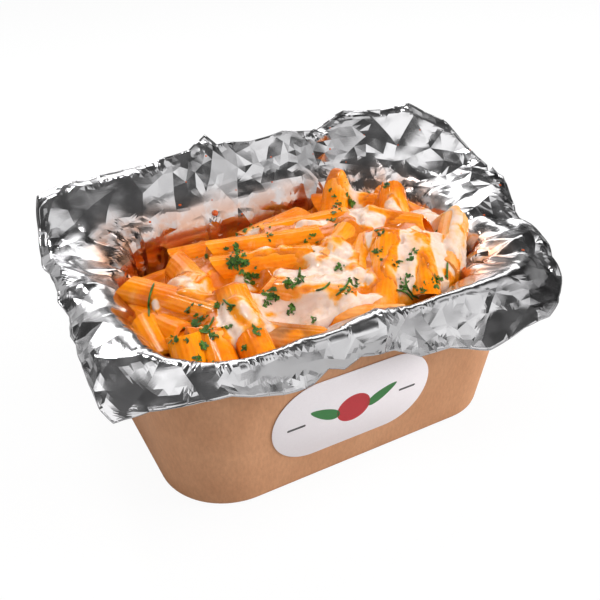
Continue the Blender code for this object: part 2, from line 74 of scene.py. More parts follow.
# Penne: name, middle x, y, z, heading, climb, length, open end, roll
PENNE = (
    ("left_long", -62.5, -3.5, 70, -54, -1, 46, 0, 0),
    ("left_under", -67, -15, 64, -70, 5, 38, 0, 200),
    ("left_open", -73, -24, 62, -87, -14, 26, 1, 180),
    ("front_left_stub", -67, -42, 67, -99, -24, 30, -1, 10),
    ("front_ridge", -43, -35, 70.5, -98, -14, 46, 0, 0),
    ("front_low", -58, -44, 67, -99, -12, 28, 0, 0),
    ("left_back_stub", -46, 15, 66.5, -90, 4, 34, 0, 60),
    ("long_middle", -7, 11, 72.5, -20, 4, 54, 0, 180),
    ("long_front", -13, 2, 70, -17, 3, 48, 0, 180),
    ("long_back", 17, 18, 73.5, -14, 4, 46, 0, 180),
    ("tip_back", 34.5, 30, 70.5, -128, -34, 30, 0, 180),
    ("tip_right", 55.5, 9, 70.3, -118, -26, 36, 0, 180),
    ("open_right", 49.5, -4, 75.5, -46, -4, 30, 1, 180),
    ("middle_tip", 11, -6, 71.5, -150, -14, 28, 0, 180),
    ("middle_dark", 18, -17, 70, -132, -9, 32, 0, 180),
    ("right_column", 24, -26, 71.5, -127, -19, 46, 0, 0),
    ("right_cheesy", 40, -30, 69.5, -118, -18, 38, 0, 0),
    ("right_mound", 58, -26, 69.5, -137, -20, 36, 0, 180),
    ("far_right", 70, 8, 67, -80, -6, 30, 0, 180),
    ("front_brown", -30, -46, 65, -38, 0, 30, 0, 70),
    ("front_middle", 0, -45, 64, -30, 0, 34, 0, 30),
    ("under_cheese", -14, -24, 67.5, -46, 0, 40, 0, 0),
    ("back_low_left", -55, 36, 53, 20, -4, 40, 1, 160),
    ("back_low_middle", -20, 40, 60, -16, 6, 44, 0, 180),
    ("back_middle", 10, 38, 66, 12, 4, 42, 1, 170),
    ("back_right", 50, 34, 70, -30, 0, 40, 1, 190),
    ("back_corner", 68, 26, 66, 80, 6, 30, 0, 0),
)
PENNE_RADIUS, PENNE_BORE = 6.7, 5.3
PENNE_SLANT = math.radians(38)
RIDGES, RIDGE_DEPTH = 20, 0.2
RING_STEPS = RIDGES * 4
# A tube's points along it, how much it is bent and pressed flat, and its uneven outside
TUBE_STEP, TUBE_BEND, TUBE_FLAT, TUBE_WOBBLE, WOBBLE_SIZE = 1.9, 0.0012, 0.92, 0.35, 9
# What the slanted ends take off a tube's length, how deep closed and open ends are hollow
END_SLACK, SHORT_BORE, LONG_BORE = 6.0, 7.0, 12.0
CAVITY_INSET = 3.6
BED_HEIGHT, BED_SPREAD, BED_DROP = 62, 8, 3.5

# Where the cheese is thick: middle x, y, half length, half width, heading, weight
CHEESE = (
    (-10, -24, 23, 13, -10, 1.5), (-16, -34, 17, 10, -20, 1.4), (3, -20, 15, 9, 10, 1.35),
    (-2, -48, 24, 9, -28, 1.65), (57, -28, 14, 12, -40, 1.4), (67, -18, 12, 10, 43, 1.4),
    (33, -29, 13, 7, -138, 1.2), (41, -24, 10, 6, -60, 1.1), (26, -14, 7, 5, -130, 1.05),
    (46, -38, 8, 7, 0, 1.1), (37, 13, 14, 7, 65, 1.35), (53, 13, 8, 6, -118, 1.05), (33, 2, 8, 6, 60, 1.15),
    (43, 1, 7, 5, -46, 0.85), (-45, -38, 15, 8, -98, 1.15), (-38, -42, 11, 5, -80, 1.15),
    (-51, 1, 9, 7, -60, 1.2), (-50, -13, 6, 4, 0, 0.9), (-44, -14, 6, 4, 0, 0.85), (11, -10, 8, 6, 0, 1.05),
    (-1, -3, 11, 5, -20, 0.95), (-22, 4, 9, 5, -20, 0.95), (8, 12, 9, 4, -16, 0.75), (-28, -6, 6, 5, 0, 0.9),
    (71, 0, 13, 10, 0, 1.4), (80, 12, 9, 8, 60, 1.1), (-8, 32, 16, 8, 10, 0.7), (50, 34, 13, 7, -20, 0.75),
    (-60, -34, 6, 4, -60, 0.7), (-66, -10, 5, 3, -54, 0.6),
)
# Lumps of cheese that stand up: x, y, radius, height
LUMPS = (
    (3, -13, 8, 76), (11, -24, 8, 75.5), (77, 11, 9, 75.5), (70, 0, 7, 74.5), (35, 10, 8, 77),
    (46, -38, 7, 70), (66, -24, 7, 76),
)
# Toasted places: x, y, radius
BROWNED = (
    (77, 15, 7), (82, 7, 4), (68, 18, 5), (-31, -48, 10), (38, -36, 2), (6, 27, 3), (73, 26, 7),
    (24, -38, 2.2),
)


# Small number helpers

def lattice(ix, iy, iz, seed):
    """A repeatable random number from -1 to 1 for each place with whole numbers."""
    n = (ix * 374761393 + iy * 668265263 + iz * 1442695041 + seed * 974711) & 0xFFFFFFFF
    n = ((n ^ (n >> 13)) * 1274126177) & 0xFFFFFFFF
    n = n ^ (n >> 16)
    return (n & 0xFFFF) / 32767.5 - 1


def value_noise(points, size, seed):
    """Smooth noise from -1 to 1 at an array of points, with features of the given size."""
    q = np.asarray(points, float) / size
    i = np.floor(q).astype(np.int64)
    f = q - i
    f = f * f * (3 - 2 * f)
    total = 0
    for dx in (0, 1):
        for dy in (0, 1):
            for dz in (0, 1):
                weight = (
                    (f[:, 0] if dx else 1 - f[:, 0]) * (f[:, 1] if dy else 1 - f[:, 1])
                    * (f[:, 2] if dz else 1 - f[:, 2]))
                total = total + weight * lattice(i[:, 0] + dx, i[:, 1] + dy, i[:, 2] + dz, seed)
    return total


def fbm(points, size, octaves, seed):
    """Noise in several sizes, each half as large and half as strong as the one before."""
    total, gain = 0, 1.0
    for octave in range(octaves):
        total = total + gain * value_noise(points, size / 2 ** octave, seed + 17 * octave)
        gain *= 0.5
    return total


def smoothstep(low, high, value):
    share = np.clip((value - low) / (high - low), 0, 1)
    return share * share * (3 - 2 * share)


def new_object(name, points, faces, material, sharp_angle=None):
    """A piece of the looks, which rides on the part's one body."""
    mesh = bpy.data.meshes.new(name)
    mesh.from_pydata([tuple(point) for point in points], [], [tuple(face) for face in faces])
    mesh.validate()
    mesh.update()
    obj = bpy.data.objects.new(name, mesh)
    bpy.context.scene.collection.objects.link(obj)
    mesh.materials.append(material)
    mesh.shade_smooth()
    if sharp_angle:
        mesh.set_sharp_from_angle(angle=math.radians(sharp_angle))
    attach(obj, "root")
    return obj


def add_fields(mesh, **fields):
    """Numbers at a mesh's points, which its material reads."""
    for name, field in fields.items():
        layer = mesh.attributes.new(name, "FLOAT", "POINT")
        layer.data.foreach_set("value", field.astype(np.float32))


def turn_faces_out(mesh):
    bm = bmesh.new()
    bm.from_mesh(mesh)
    bmesh.ops.recalc_face_normals(bm, faces=bm.faces)
    bm.to_mesh(mesh)
    bm.free()


def tube_faces(start, around, rings):
    """Faces of a closed tube whose points come ring after ring: its side, then both ends."""
    faces = []
    for ring in range(rings - 1):
        near, far = start + ring * around, start + (ring + 1) * around
        for k in range(around):
            j = (k + 1) % around
            faces.append((near + k, near + j, far + j, far + k))
    faces.append([start + k for k in reversed(range(around))])
    faces.append([start + (rings - 1) * around + k for k in range(around)])
    return faces


def tree_of(obj):
    graph = bpy.context.evaluated_depsgraph_get()
    bm = bmesh.new()
    bm.from_object(obj, graph)
    tree = BVHTree.FromBMesh(bm)
    bm.free()
    return tree


# Node materials

# A mix node's sockets for the share and both colours, and its colour output
MIX_SOCKETS, MIX_RESULT = (0, 6, 7), 2


class Nodes:
    """Short names for building the nodes of a material or of the world."""

    def __init__(self, owner, coordinates="Object"):
        owner.use_nodes = True
        self.owner = owner
        self.tree = owner.node_tree
        self.place = self.add("ShaderNodeTexCoord").outputs[coordinates]

    def add(self, kind, **values):
        node = self.tree.nodes.new(kind)
        for key, value in values.items():
            setattr(node, key, value)
        return node

    def link(self, source, target):
        self.tree.links.new(source, target)

    def feed(self, value, socket):
        """Links another node's output to a socket, or sets the socket to a number or a colour."""
        if isinstance(value, bpy.types.NodeSocket):
            self.link(value, socket)
        elif isinstance(value, tuple):
            socket.default_value = (*value, 1)
        else:
            socket.default_value = value

    def noise(self, scale, detail, rough, stretch=None, distortion=0.0):
        node = self.add("ShaderNodeTexNoise")
        settings = (("Scale", scale), ("Detail", detail), ("Roughness", rough), ("Distortion", distortion))
        for key, value in settings:
            node.inputs[key].default_value = value
        source = self.place
        if stretch:
            mapping = self.add("ShaderNodeMapping")
            mapping.inputs["Scale"].default_value = stretch
            self.link(self.place, mapping.inputs["Vector"])
            source = mapping.outputs["Vector"]
        self.link(source, node.inputs["Vector"])
        return node.outputs["Fac"]

    def attribute(self, name):
        return self.add("ShaderNodeAttribute", attribute_name=name).outputs["Fac"]

    def ramp(self, source, stops):
        node = self.add("ShaderNodeValToRGB")
        band = node.color_ramp
        while len(band.elements) < len(stops):
            band.elements.new(0.5)
        for element, (position, colour) in zip(band.elements, stops):
            element.position = position
            element.color = (*colour, 1)
        self.link(source, node.inputs["Fac"])
        return node.outputs["Color"]

    def span(self, source, low, high, to_low=0.0, to_high=1.0, shape="SMOOTHSTEP"):
        node = self.add("ShaderNodeMapRange", interpolation_type=shape)
        for key, value in zip(("From Min", "From Max", "To Min", "To Max"), (low, high, to_low, to_high)):
            node.inputs[key].default_value = value
        self.link(source, node.inputs["Value"])
        return node.outputs["Result"]

    def mix(self, share, first, second, kind="MIX"):
        node = self.add("ShaderNodeMix", data_type="RGBA", blend_type=kind)
        for socket, value in zip(MIX_SOCKETS, (share, first, second)):
            self.feed(value, node.inputs[socket])
        return node.outputs[MIX_RESULT]

    def math(self, kind, first, second):
        node = self.add("ShaderNodeMath", operation=kind)
        self.feed(first, node.inputs[0])
        self.feed(second, node.inputs[1])
        return node.outputs[0]

    def tint(self, colour, share, strength, other):
        """Mixes another colour in, by its share of the place times a strength."""
        return self.mix(self.math("MULTIPLY", share, strength), colour, other)

    def bump(self, height, strength, distance, before=None):
        node = self.add("ShaderNodeBump")
        node.inputs["Strength"].default_value = strength
        node.inputs["Distance"].default_value = distance
        self.link(height, node.inputs["Height"])
        if before:
            self.link(before, node.inputs["Normal"])
        return node.outputs["Normal"]

    def finish(self, colour, roughness, normal=None, **values):
        shader = self.tree.nodes["Principled BSDF"]
        self.feed(colour, shader.inputs["Base Color"])
        self.feed(roughness, shader.inputs["Roughness"])
        if normal:
            self.link(normal, shader.inputs["Normal"])
        for key, value in values.items():
            shader.inputs[key.replace("_", " ")].default_value = value
        return self.owner


def surface(name):
    return Nodes(bpy.data.materials.new(name))


def kraft_material():
    n = surface("kraft_board")
    fibre = n.noise(900, 4, 0.6, (1, 1, 0.35))
    cloud = n.noise(60, 3, 0.5)
    speck = n.noise(2600, 2, 0.5)
    base = n.ramp(cloud, ((0.3, (0.575, 0.285, 0.148)), (0.7, (0.64, 0.33, 0.178))))
    fibres = n.ramp(fibre, ((0.35, (0.86, 0.84, 0.80)), (0.6, (1.0, 1.0, 1.0)), (0.75, (1.06, 1.06, 1.06))))
    colour = n.mix(0.75, base, fibres, "MULTIPLY")
    specks = n.span(speck, 0.66, 0.72)
    colour = n.tint(colour, specks, 0.35, (0.22, 0.12, 0.065))
    normal = n.bump(fibre, 0.25, 0.0002)
    normal = n.bump(speck, 0.15, 0.0001, normal)
    return n.finish(colour, n.span(fibre, 0.2, 0.8, 0.62, 0.8), normal, Specular_IOR_Level=0.3)


def sticker_material():
    n = surface("sticker_paper")
    grain = n.noise(1200, 3, 0.5)
    colour = n.ramp(grain, ((0.3, (0.93, 0.88, 0.905)), (0.7, (0.96, 0.91, 0.935))))
    return n.finish(colour, 0.42, n.bump(grain, 0.06, 0.0001), Specular_IOR_Level=0.45)


def ink_material(name, colour):
    n = surface(name)
    grain = n.noise(1500, 3, 0.5)
    shade = n.ramp(grain, ((0.3, tuple(0.9 * c for c in colour)), (0.7, colour)))
    return n.finish(shade, 0.4, n.bump(grain, 0.05, 0.0001))


def foil_material():
    n = surface("crumpled_foil")
    rolled = n.noise(2200, 2, 0.5, (0.08, 1, 1))
    haze = n.noise(140, 3, 0.5)
    rough = n.span(haze, 0.35, 0.7, 0.13, 0.22)
    normal = n.bump(rolled, 0.08, 0.0001)
    # Orange tint on the foil's inner wall: partly a real smear of sauce, partly a painted reflection of the
    # food
    smear = n.math("MULTIPLY", n.attribute("smear"), n.span(haze, 0.35, 0.6, 0.3, 1.0))
    colour = n.mix(smear, (0.60, 0.595, 0.605), (0.66, 0.29, 0.13))
    return n.finish(colour, rough, normal, Metallic=1.0)


def penne_material():
    n = surface("baked_penne")
    cloud = n.noise(70, 4, 0.55)
    patch = n.noise(240, 3, 0.6)
    speck = n.noise(1100, 2, 0.5)
    base = n.ramp(cloud, (
        (0.25, (0.70, 0.125, 0.002)), (0.45, (0.91, 0.235, 0.003)), (0.62, (0.96, 0.305, 0.005)),
        (0.8, (0.97, 0.38, 0.02))))
    sauce = n.span(patch, 0.52, 0.72)
    colour = n.tint(base, sauce, 0.4, (0.70, 0.145, 0.006))
    pale = n.span(n.noise(150, 4, 0.6, distortion=0.4), 0.6, 0.74)
    colour = n.tint(colour, pale, 0.4, (0.88, 0.50, 0.18))
    dark = n.span(speck, 0.68, 0.76)
    colour = n.tint(colour, dark, 0.4, (0.36, 0.07, 0.01))
    film = n.math("MULTIPLY", n.attribute("film"), n.span(cloud, 0.42, 0.62))
    colour = n.tint(colour, film, 0.6, (0.87, 0.50, 0.24))
    toast = n.attribute("toast")
    colour = n.mix(toast, colour, (0.17, 0.04, 0.008))
    rough = n.span(patch, 0.3, 0.7, 0.2, 0.4)
    normal = n.bump(patch, 0.3, 0.0007)
    normal = n.bump(n.noise(700, 3, 0.6), 0.3, 0.0003, normal)
    normal = n.bump(speck, 0.12, 0.0002, normal)
    return n.finish(
        colour, rough, normal, Subsurface_Weight=0.25, Subsurface_Scale=0.002, Specular_IOR_Level=0.1,
        Subsurface_Radius=(1.0, 0.45, 0.15), Coat_Weight=0.35, Coat_Roughness=0.06)


def melt_material():
    n = surface("melted_cheese_and_sauce")
    thick = n.attribute("thick")
    cloud = n.noise(160, 4, 0.6, distortion=0.5)
    fine = n.noise(600, 3, 0.55)
    swirl = n.noise(85, 3, 0.5, distortion=1.2)
    streak = n.math("ADD", thick, n.math("MULTIPLY", n.math("SUBTRACT", cloud, 0.5), 0.8))
    streak = n.math("ADD", streak, n.math("MULTIPLY", n.math("SUBTRACT", swirl, 0.56), 1.1))
    colour = n.ramp(streak, (
        (0.05, (0.64, 0.150, 0.002)), (0.30, (0.88, 0.250, 0.003)), (0.48, (0.90, 0.33, 0.02)),
        (0.64, (0.83, 0.48, 0.24)), (0.92, (0.79, 0.585, 0.475))))
    oil = n.span(fine, 0.62, 0.75)
    colour = n.tint(colour, oil, 0.3, (0.86, 0.36, 0.06))
    toast = n.attribute("toast")
    scorch = n.math("MULTIPLY", toast, n.span(fine, 0.3, 0.62, 0.35, 1.0))
    colour = n.mix(scorch, colour, (0.23, 0.055, 0.010))
    rough = n.span(fine, 0.3, 0.7, 0.2, 0.36)
    normal = n.bump(cloud, 0.2, 0.0008)
    normal = n.bump(fine, 0.14, 0.0003, normal)
    return n.finish(
        colour, rough, normal, Subsurface_Weight=0.3, Subsurface_Scale=0.003, Specular_IOR_Level=0.2,
        Subsurface_Radius=(1.0, 0.6, 0.35), Coat_Weight=0.5, Coat_Roughness=0.08)


def parsley_material():
    n = surface("chopped_parsley")
    cloud = n.noise(500, 3, 0.5)
    colour = n.ramp(cloud, (
        (0.3, (0.010, 0.045, 0.003)), (0.5, (0.036, 0.115, 0.007)), (0.72, (0.10, 0.23, 0.02))))
    return n.finish(
        colour, 0.4, n.bump(cloud, 0.4, 0.0003), Subsurface_Weight=0.15, Subsurface_Scale=0.001,
        Subsurface_Radius=(0.4, 1.0, 0.2))


def sauce_material():
    n = surface("sauce_drops")
    cloud = n.noise(300, 2, 0.5)
    colour = n.ramp(cloud, ((0.3, (0.40, 0.05, 0.006)), (0.7, (0.62, 0.11, 0.015))))
    return n.finish(colour, 0.18, Coat_Weight=0.4, Coat_Roughness=0.08)


# The tray's outline and the foil's section, at arrays of places

HALF = (TRAY_LENGTH / 2 - TOP_CORNER, TRAY_WIDTH / 2 - TOP_CORNER)
QUARTER = math.pi / 2 * TOP_CORNER
STRETCHES = np.array([
    HALF[0], QUARTER, 2 * HALF[1], QUARTER, 2 * HALF[0], QUARTER, 2 * HALF[1], QUARTER, HALF[0]])
STARTS = np.concatenate([[0], np.cumsum(STRETCHES)])
ROUND = float(STARTS[-1])
TURNS = np.array([-90, -90, 0, 0, 90, 90, 180, 180, 270.0])


def outline(along, height, outset):
    """Points of the tray's outer wall and their outward directions."""
    along = np.mod(along, ROUND)
    share = height / TRAY_HEIGHT
    taper = TRAY_TAPER * (1 - share)
    corner = BOTTOM_CORNER + (TOP_CORNER - BOTTOM_CORNER) * share
    half_x = TRAY_LENGTH / 2 - taper - corner
    half_y = TRAY_WIDTH / 2 - taper - corner
    index = np.clip(np.searchsorted(STARTS, along, side="right") - 1, 0, 8)
    part = (along - STARTS[index]) / STRETCHES[index]
    turn = np.radians(TURNS[index] + np.where(index % 2 == 1, 90 * part, 0))
    x_share = np.select(
        [index == 0, index == 4, index == 8, index <= 3], [part, 1 - 2 * part, part - 1, 1 + 0 * part], -1.0)
    y_share = np.select(
        [index == 2, index == 6, (index <= 1) | (index >= 7)],
        [2 * part - 1, 1 - 2 * part, -1 + 0 * part], 1.0)
    out_x, out_y = np.cos(turn), np.sin(turn)
    x = x_share * half_x + out_x * (corner + outset)
    y = y_share * half_y + out_y * (corner + outset)
    return x, y, out_x, out_y


def jagged(seed, low, high, steps):
    """Places round the rim with an offset for each, to be joined by straight lines."""
    draw = random.Random(seed)
    marks, jags, place = [], [], 0.0
    while place < ROUND - 5:
        marks.append(place)
        jags.append(draw.uniform(low, high))
        place += draw.choice(steps) * draw.uniform(0.8, 1.2)
    return np.array(marks), np.array(jags)


EDGE_MARKS, EDGE_JAGS = jagged(3, -2.8, 1.2, (4.0, 6.0, 9.0, 14.0))
REACH_MARKS, REACH_JAGS = jagged(8, -0.32, 0.38, (5.0, 8.0, 12.0))


def flare_at(along):
    """The flare's length, rise and reach at places round the rim."""
    rows = np.array(list(FLARE) + [(ROUND, *FLARE[0][1:])], float)
    place = np.mod(along, ROUND)
    return [np.interp(place, rows[:, 0], rows[:, k]) for k in (1, 2, 3)]


SECTION_COUNT = math.ceil(ROUND)
SECTION_MARKS = np.arange(SECTION_COUNT) * ROUND / SECTION_COUNT
WALL_POINTS, WALL_SMOOTHING = 141, 13
OUT_STEPS, OUT_REACH = 0.5, 60.0
ARC_STEPS = 8
LEAN_HEIGHT = 8
BEAD_HEIGHT = TRAY_HEIGHT - BEAD_RADIUS


def lip_turns(rise, reach):
    """Where the arc over the rim begins and ends, in radians."""
    return math.pi / 2 + np.arctan2(LEAN_HEIGHT, reach), math.pi / 2 + np.radians(rise)


def walk(points, wanted=None, shares=None):
    """Places on a line of points, at the wanted lengths or shares of its whole length."""
    steps = np.concatenate([[0], np.cumsum(np.hypot(*np.diff(points, axis=0).T))])
    if wanted is None:
        wanted = shares * steps[-1]
    return np.stack([np.interp(wanted, steps, points[:, k]) for k in (0, 1)], 1)


def smoothed(line):
    kernel = np.hanning(WALL_SMOOTHING)
    kernel /= kernel.sum()
    half = WALL_SMOOTHING // 2
    padded = np.concatenate([np.repeat(line[:1], half, 0), line, np.repeat(line[-1:], half, 0)])
    return np.stack([np.convolve(padded[:, k], kernel, "valid") for k in (0, 1)], 1)


def section(mark):
    """The foil's section at one mark: its wall from floor to lip, and its flare outwards."""
    inset = PAPER + GAP + FOIL
    _, rise, reach = (float(value) for value in flare_at(mark))
    reach *= 1 + float(np.interp(mark, REACH_MARKS, REACH_JAGS, period=ROUND))
    here = np.array([mark])
    rim_x, rim_y, out_x, out_y = (float(v[0]) for v in outline(here, BEAD_HEIGHT, 0.0))
    line = [(-inset - 3 - reach * 0.1 - TRAY_TAPER, PAPER + GAP + FOIL / 2)]
    for height, share in WALL_ROWS:
        x, y, _, _ = outline(here, height, -inset - share * reach)
        line.append(((float(x[0]) - rim_x) * out_x + (float(y[0]) - rim_y) * out_y, height))
    first, last = lip_turns(rise, reach)
    arc = [first + (last - first) * k / ARC_STEPS for k in range(ARC_STEPS + 1)]
    arc = [(LIP_RADIUS * math.cos(a), BEAD_HEIGHT + LIP_RADIUS * math.sin(a)) for a in arc]
    wall = smoothed(walk(np.array(line + arc[:1]), shares=np.linspace(0, 1, WALL_POINTS)))
    rise = math.radians(rise)
    end = np.array(arc[-1]) + OUT_REACH * np.array([math.cos(rise), math.sin(rise)])
    flare = walk(np.array(arc + [tuple(end)]), np.arange(0, OUT_REACH, OUT_STEPS))
    return [
        np.stack([rim_x + rows[:, 0] * out_x, rim_y + rows[:, 0] * out_y, rows[:, 1]], 1)
        for rows in (wall, flare)]


WALLS, FLARES = (np.array(table) for table in zip(*(section(mark) for mark in SECTION_MARKS)))


def foil_point(along, reach):
    """Places on the smooth foil: reach is mm out from the lip, or down the wall when negative."""
    place = np.mod(along, ROUND) / ROUND * SECTION_COUNT
    low = np.floor(place).astype(int) % SECTION_COUNT
    high = (low + 1) % SECTION_COUNT
    blend = (place - np.floor(place))[:, None]

    def read(table, row):
        row = np.clip(row, 0, table.shape[1] - 1.001)
        base = np.floor(row).astype(int)
        part = (row - base)[:, None]
        near = table[low, base] * (1 - part) + table[low, base + 1] * part
        far = table[high, base] * (1 - part) + table[high, base + 1] * part
        return near * (1 - blend) + far * blend

    wall = read(WALLS, (1 + np.minimum(reach, 0) / WALL_SPAN) * (WALLS.shape[1] - 1))
    flare = read(FLARES, np.maximum(reach, 0) / OUT_STEPS)
    return np.where((reach < 0)[:, None], wall, flare)


def foil_normal(along, reach):
    step = 0.6
    across = foil_point(along + step, reach) - foil_point(along - step, reach)
    up = foil_point(along, reach + step) - foil_point(along, reach - step)
    normal = np.cross(up, across)
    normal /= np.linalg.norm(normal, axis=1)[:, None]
    return normal


def lip_lengths(along):
    """Length of the arc over the rim, before the flare proper begins."""
    _, rise, reach = flare_at(along)
    first, last = lip_turns(rise, reach)
    return np.abs(last - first) * LIP_RADIUS


LIPS = lip_lengths(SECTION_MARKS)


def foil_edge(along):
    """How far out the foil goes here, straight between its ragged corners."""
    length = flare_at(along)[0]
    lip = np.interp(np.mod(along, ROUND), SECTION_MARKS, LIPS, period=ROUND)
    return length + lip + np.interp(np.mod(along, ROUND), EDGE_MARKS, EDGE_JAGS, period=ROUND)


# The crumpled foil

# Large creases: distance between their corners, how far that varies, and their height
COARSE_SPACING, COARSE_SPREAD, COARSE_LIFT = 12.0, 5.0, 4.2
CELL = 7.0
# Places where the foil lies in one smooth sheet: along the rim, out from it, radius
FLATS = ((68, -12, 15), (318, -8, 14))
# The creases reach this far down the wall and this far out, and the flare is never longer
WALL_FOOT, COARSE_FOOT, COARSE_END, FINE_END = -36.0, -56.0, 58, 55
# Distance between points along the rim, along a large crease and round the foil's foot
RIM_STEP, CREASE_STEP, FOOT_POINTS = 3.5, 3.8, 60
TIP_ROOM, EDGE_ROOM, FINE_ROOM = 1.5, 2.0, 2.2
# Inside the tray the points lie further apart, and below this height the foil is its floor
WALL_SPACING, FLOOR_HEIGHT = 11, 20
SHEET_THICKNESS = 0.12
CREASE_ANGLE = 4


def scatter(seed, spacing, low, high, taken=(), margin=None):
    """Random places round the rim that keep their distance from each other and wrap round."""
    source = np.random.default_rng(seed)
    closest = float(np.min(spacing(np.linspace(0, ROUND, 400), np.full(400, high))))
    tries = int(ROUND * (high - low) / closest ** 2 * 9)
    s, t = source.uniform(0, ROUND, tries), source.uniform(low, high, tries)
    gaps = spacing(s, t)
    if margin is not None:
        inside = t < foil_edge(s) - margin
        s, t, gaps = s[inside], t[inside], gaps[inside]
    columns = int(ROUND / CELL)
    reach = math.ceil(float(gaps.max()) / CELL)
    around = [(dx, dy) for dx in range(-reach, reach + 1) for dy in range(-reach, reach + 1)]
    grid, kept = {}, []

    def cell(x, y):
        return int(x / ROUND * columns) % columns, int((y - low) // CELL)

    def crowded(x, y, gap):
        column, row = cell(x, y)
        for dx, dy in around:
            for other in grid.get(((column + dx) % columns, row + dy), ()):
                apart = abs(other[0] - x)
                if min(apart, ROUND - apart) ** 2 + (other[1] - y) ** 2 < gap * gap:
                    return True
        return False

    for place in taken:
        grid.setdefault(cell(*place), []).append(place)
    for x, y, gap in zip(s.tolist(), t.tolist(), gaps.tolist()):
        if not crowded(x, y, gap):
            grid.setdefault(cell(x, y), []).append((x, y))
            kept.append((x, y))
    return kept


def wrapped_triangles(points, edges, margin):
    """Triangles of a point set that wraps round, from a strip with both ends repeated."""
    spots, ids, lookup = [], [], {}
    for shift in (0, -1, 1):
        for index, (s, t) in enumerate(points):
            moved = s + shift * ROUND
            if -margin <= moved < ROUND + margin:
                lookup[(index, shift)] = len(spots)
                spots.append(Vector((moved, t)))
                ids.append(index)
    fixed = []
    for a, b in edges:
        turn = round((points[a][0] - points[b][0]) / ROUND)
        for shift in (0, -1, 1):
            if (a, shift) in lookup and (b, shift + turn) in lookup:
                fixed.append((lookup[(a, shift)], lookup[(b, shift + turn)]))
    made, _, faces, sources, _, _ = delaunay_2d_cdt(spots, fixed, [], 0, 1e-5)
    triangles = []
    for face in faces:
        centre = sum(made[v].x for v in face) / 3
        corners = [sources[v][0] if sources[v] else None for v in face]
        if 0 <= centre < ROUND and None not in corners:
            base = [ids[c] for c in corners]
            if len(set(base)) == 3:
                triangles.append((base, [made[v].copy() for v in face]))
    return triangles


def facet_heights(spots, triangles, heights):
    """Heights of a coarse crumple at the given places, straight between its corners."""
    corners = np.array([[tuple(v) for v in spot] for _, spot in triangles])
    values = np.array([[heights[i] for i in base] for base, _ in triangles])
    result = np.zeros(len(spots))
    a, b, c = corners[:, 0], corners[:, 1], corners[:, 2]
    area = (b[:, 0] - a[:, 0]) * (c[:, 1] - a[:, 1]) - (c[:, 0] - a[:, 0]) * (b[:, 1] - a[:, 1])
    for index, (s, t) in enumerate(spots):
        best, best_share = 0.0, -1e9
        for shift in (0, -ROUND, ROUND):
            x = s + shift
            u = ((b[:, 0] - x) * (c[:, 1] - t) - (c[:, 0] - x) * (b[:, 1] - t)) / area
            v = ((c[:, 0] - x) * (a[:, 1] - t) - (a[:, 0] - x) * (c[:, 1] - t)) / area
            w = 1 - u - v
            inside = np.minimum(np.minimum(u, v), w)
            k = int(np.argmax(inside))
            if inside[k] > best_share:
                best_share = inside[k]
                best = u[k] * values[k, 0] + v[k] * values[k, 1] + w[k] * values[k, 2]
        result[index] = best
    return result


def ring_noise(s, t, size, seed):
    angle = s / ROUND * math.tau
    radius = ROUND / math.tau
    return value_noise(np.stack([radius * np.cos(angle), radius * np.sin(angle), t], 1), size, seed)


def crinkled(s, t):
    """Where the foil is finely crinkled, from 0 to 1, and where it stays in broad flat facets."""
    zone = smoothstep(-0.2, 0.3, ring_noise(s, t, 20, 33) + 0.25 * ring_noise(s, t, 9, 34))
    return zone * (1 - 0.7 * smoothstep(4, 16, -t))


def facet_size(s, t):
    """Distance between creases, mm."""
    return 9.0 - 4.8 * crinkled(s, t)


def split_once(points, triangles, lift, draw):
    """Every triangle cut in four, the new corners lifted a little off the middle of their edge."""
    points, lift = list(points), list(lift)
    middles, result = {}, []
    for base, spot in triangles:
        mids, places = [], []
        for k in range(3):
            i, j = base[k], base[(k + 1) % 3]
            key = (min(i, j), max(i, j))
            place = (spot[k] + spot[(k + 1) % 3]) / 2
            if key not in middles:
                middles[key] = len(points)
                points.append((place.x % ROUND, place.y))
                reach = (spot[k] - spot[(k + 1) % 3]).length
                lift.append((lift[i] + lift[j]) / 2 + draw.uniform(-1, 1) * 0.005 * min(reach, 6))
            mids.append(middles[key])
            places.append(place)
        result.append(([base[0], mids[0], mids[2]], [spot[0], places[0], places[2]]))
        result.append(([mids[0], base[1], mids[1]], [places[0], spot[1], places[1]]))
        result.append(([mids[2], mids[1], base[2]], [places[2], places[1], spot[2]]))
        result.append(([mids[0], mids[1], mids[2]], [places[0], places[1], places[2]]))
    return points, result, lift


def closed_loop(ids):
    """Pairs of neighbours round a loop."""
    return [(ids[k], ids[(k + 1) % len(ids)]) for k in range(len(ids))]


def rim_places():
    """Marks along the foil's ragged edge, with its four tips, and how far out it goes there."""
    corners = list(EDGE_MARKS) + [ROUND]
    marks = []
    for first, last in zip(corners, corners[1:]):
        count = max(1, round((last - first) / RIM_STEP))
        marks += [first + (last - first) * k / count for k in range(count)]
    marks = [mark for mark in marks if min(abs(mark - tip) for tip in FOIL_TIPS) > TIP_ROOM]
    marks = np.array(sorted(marks + list(FOIL_TIPS)))
    return marks, foil_edge(marks)


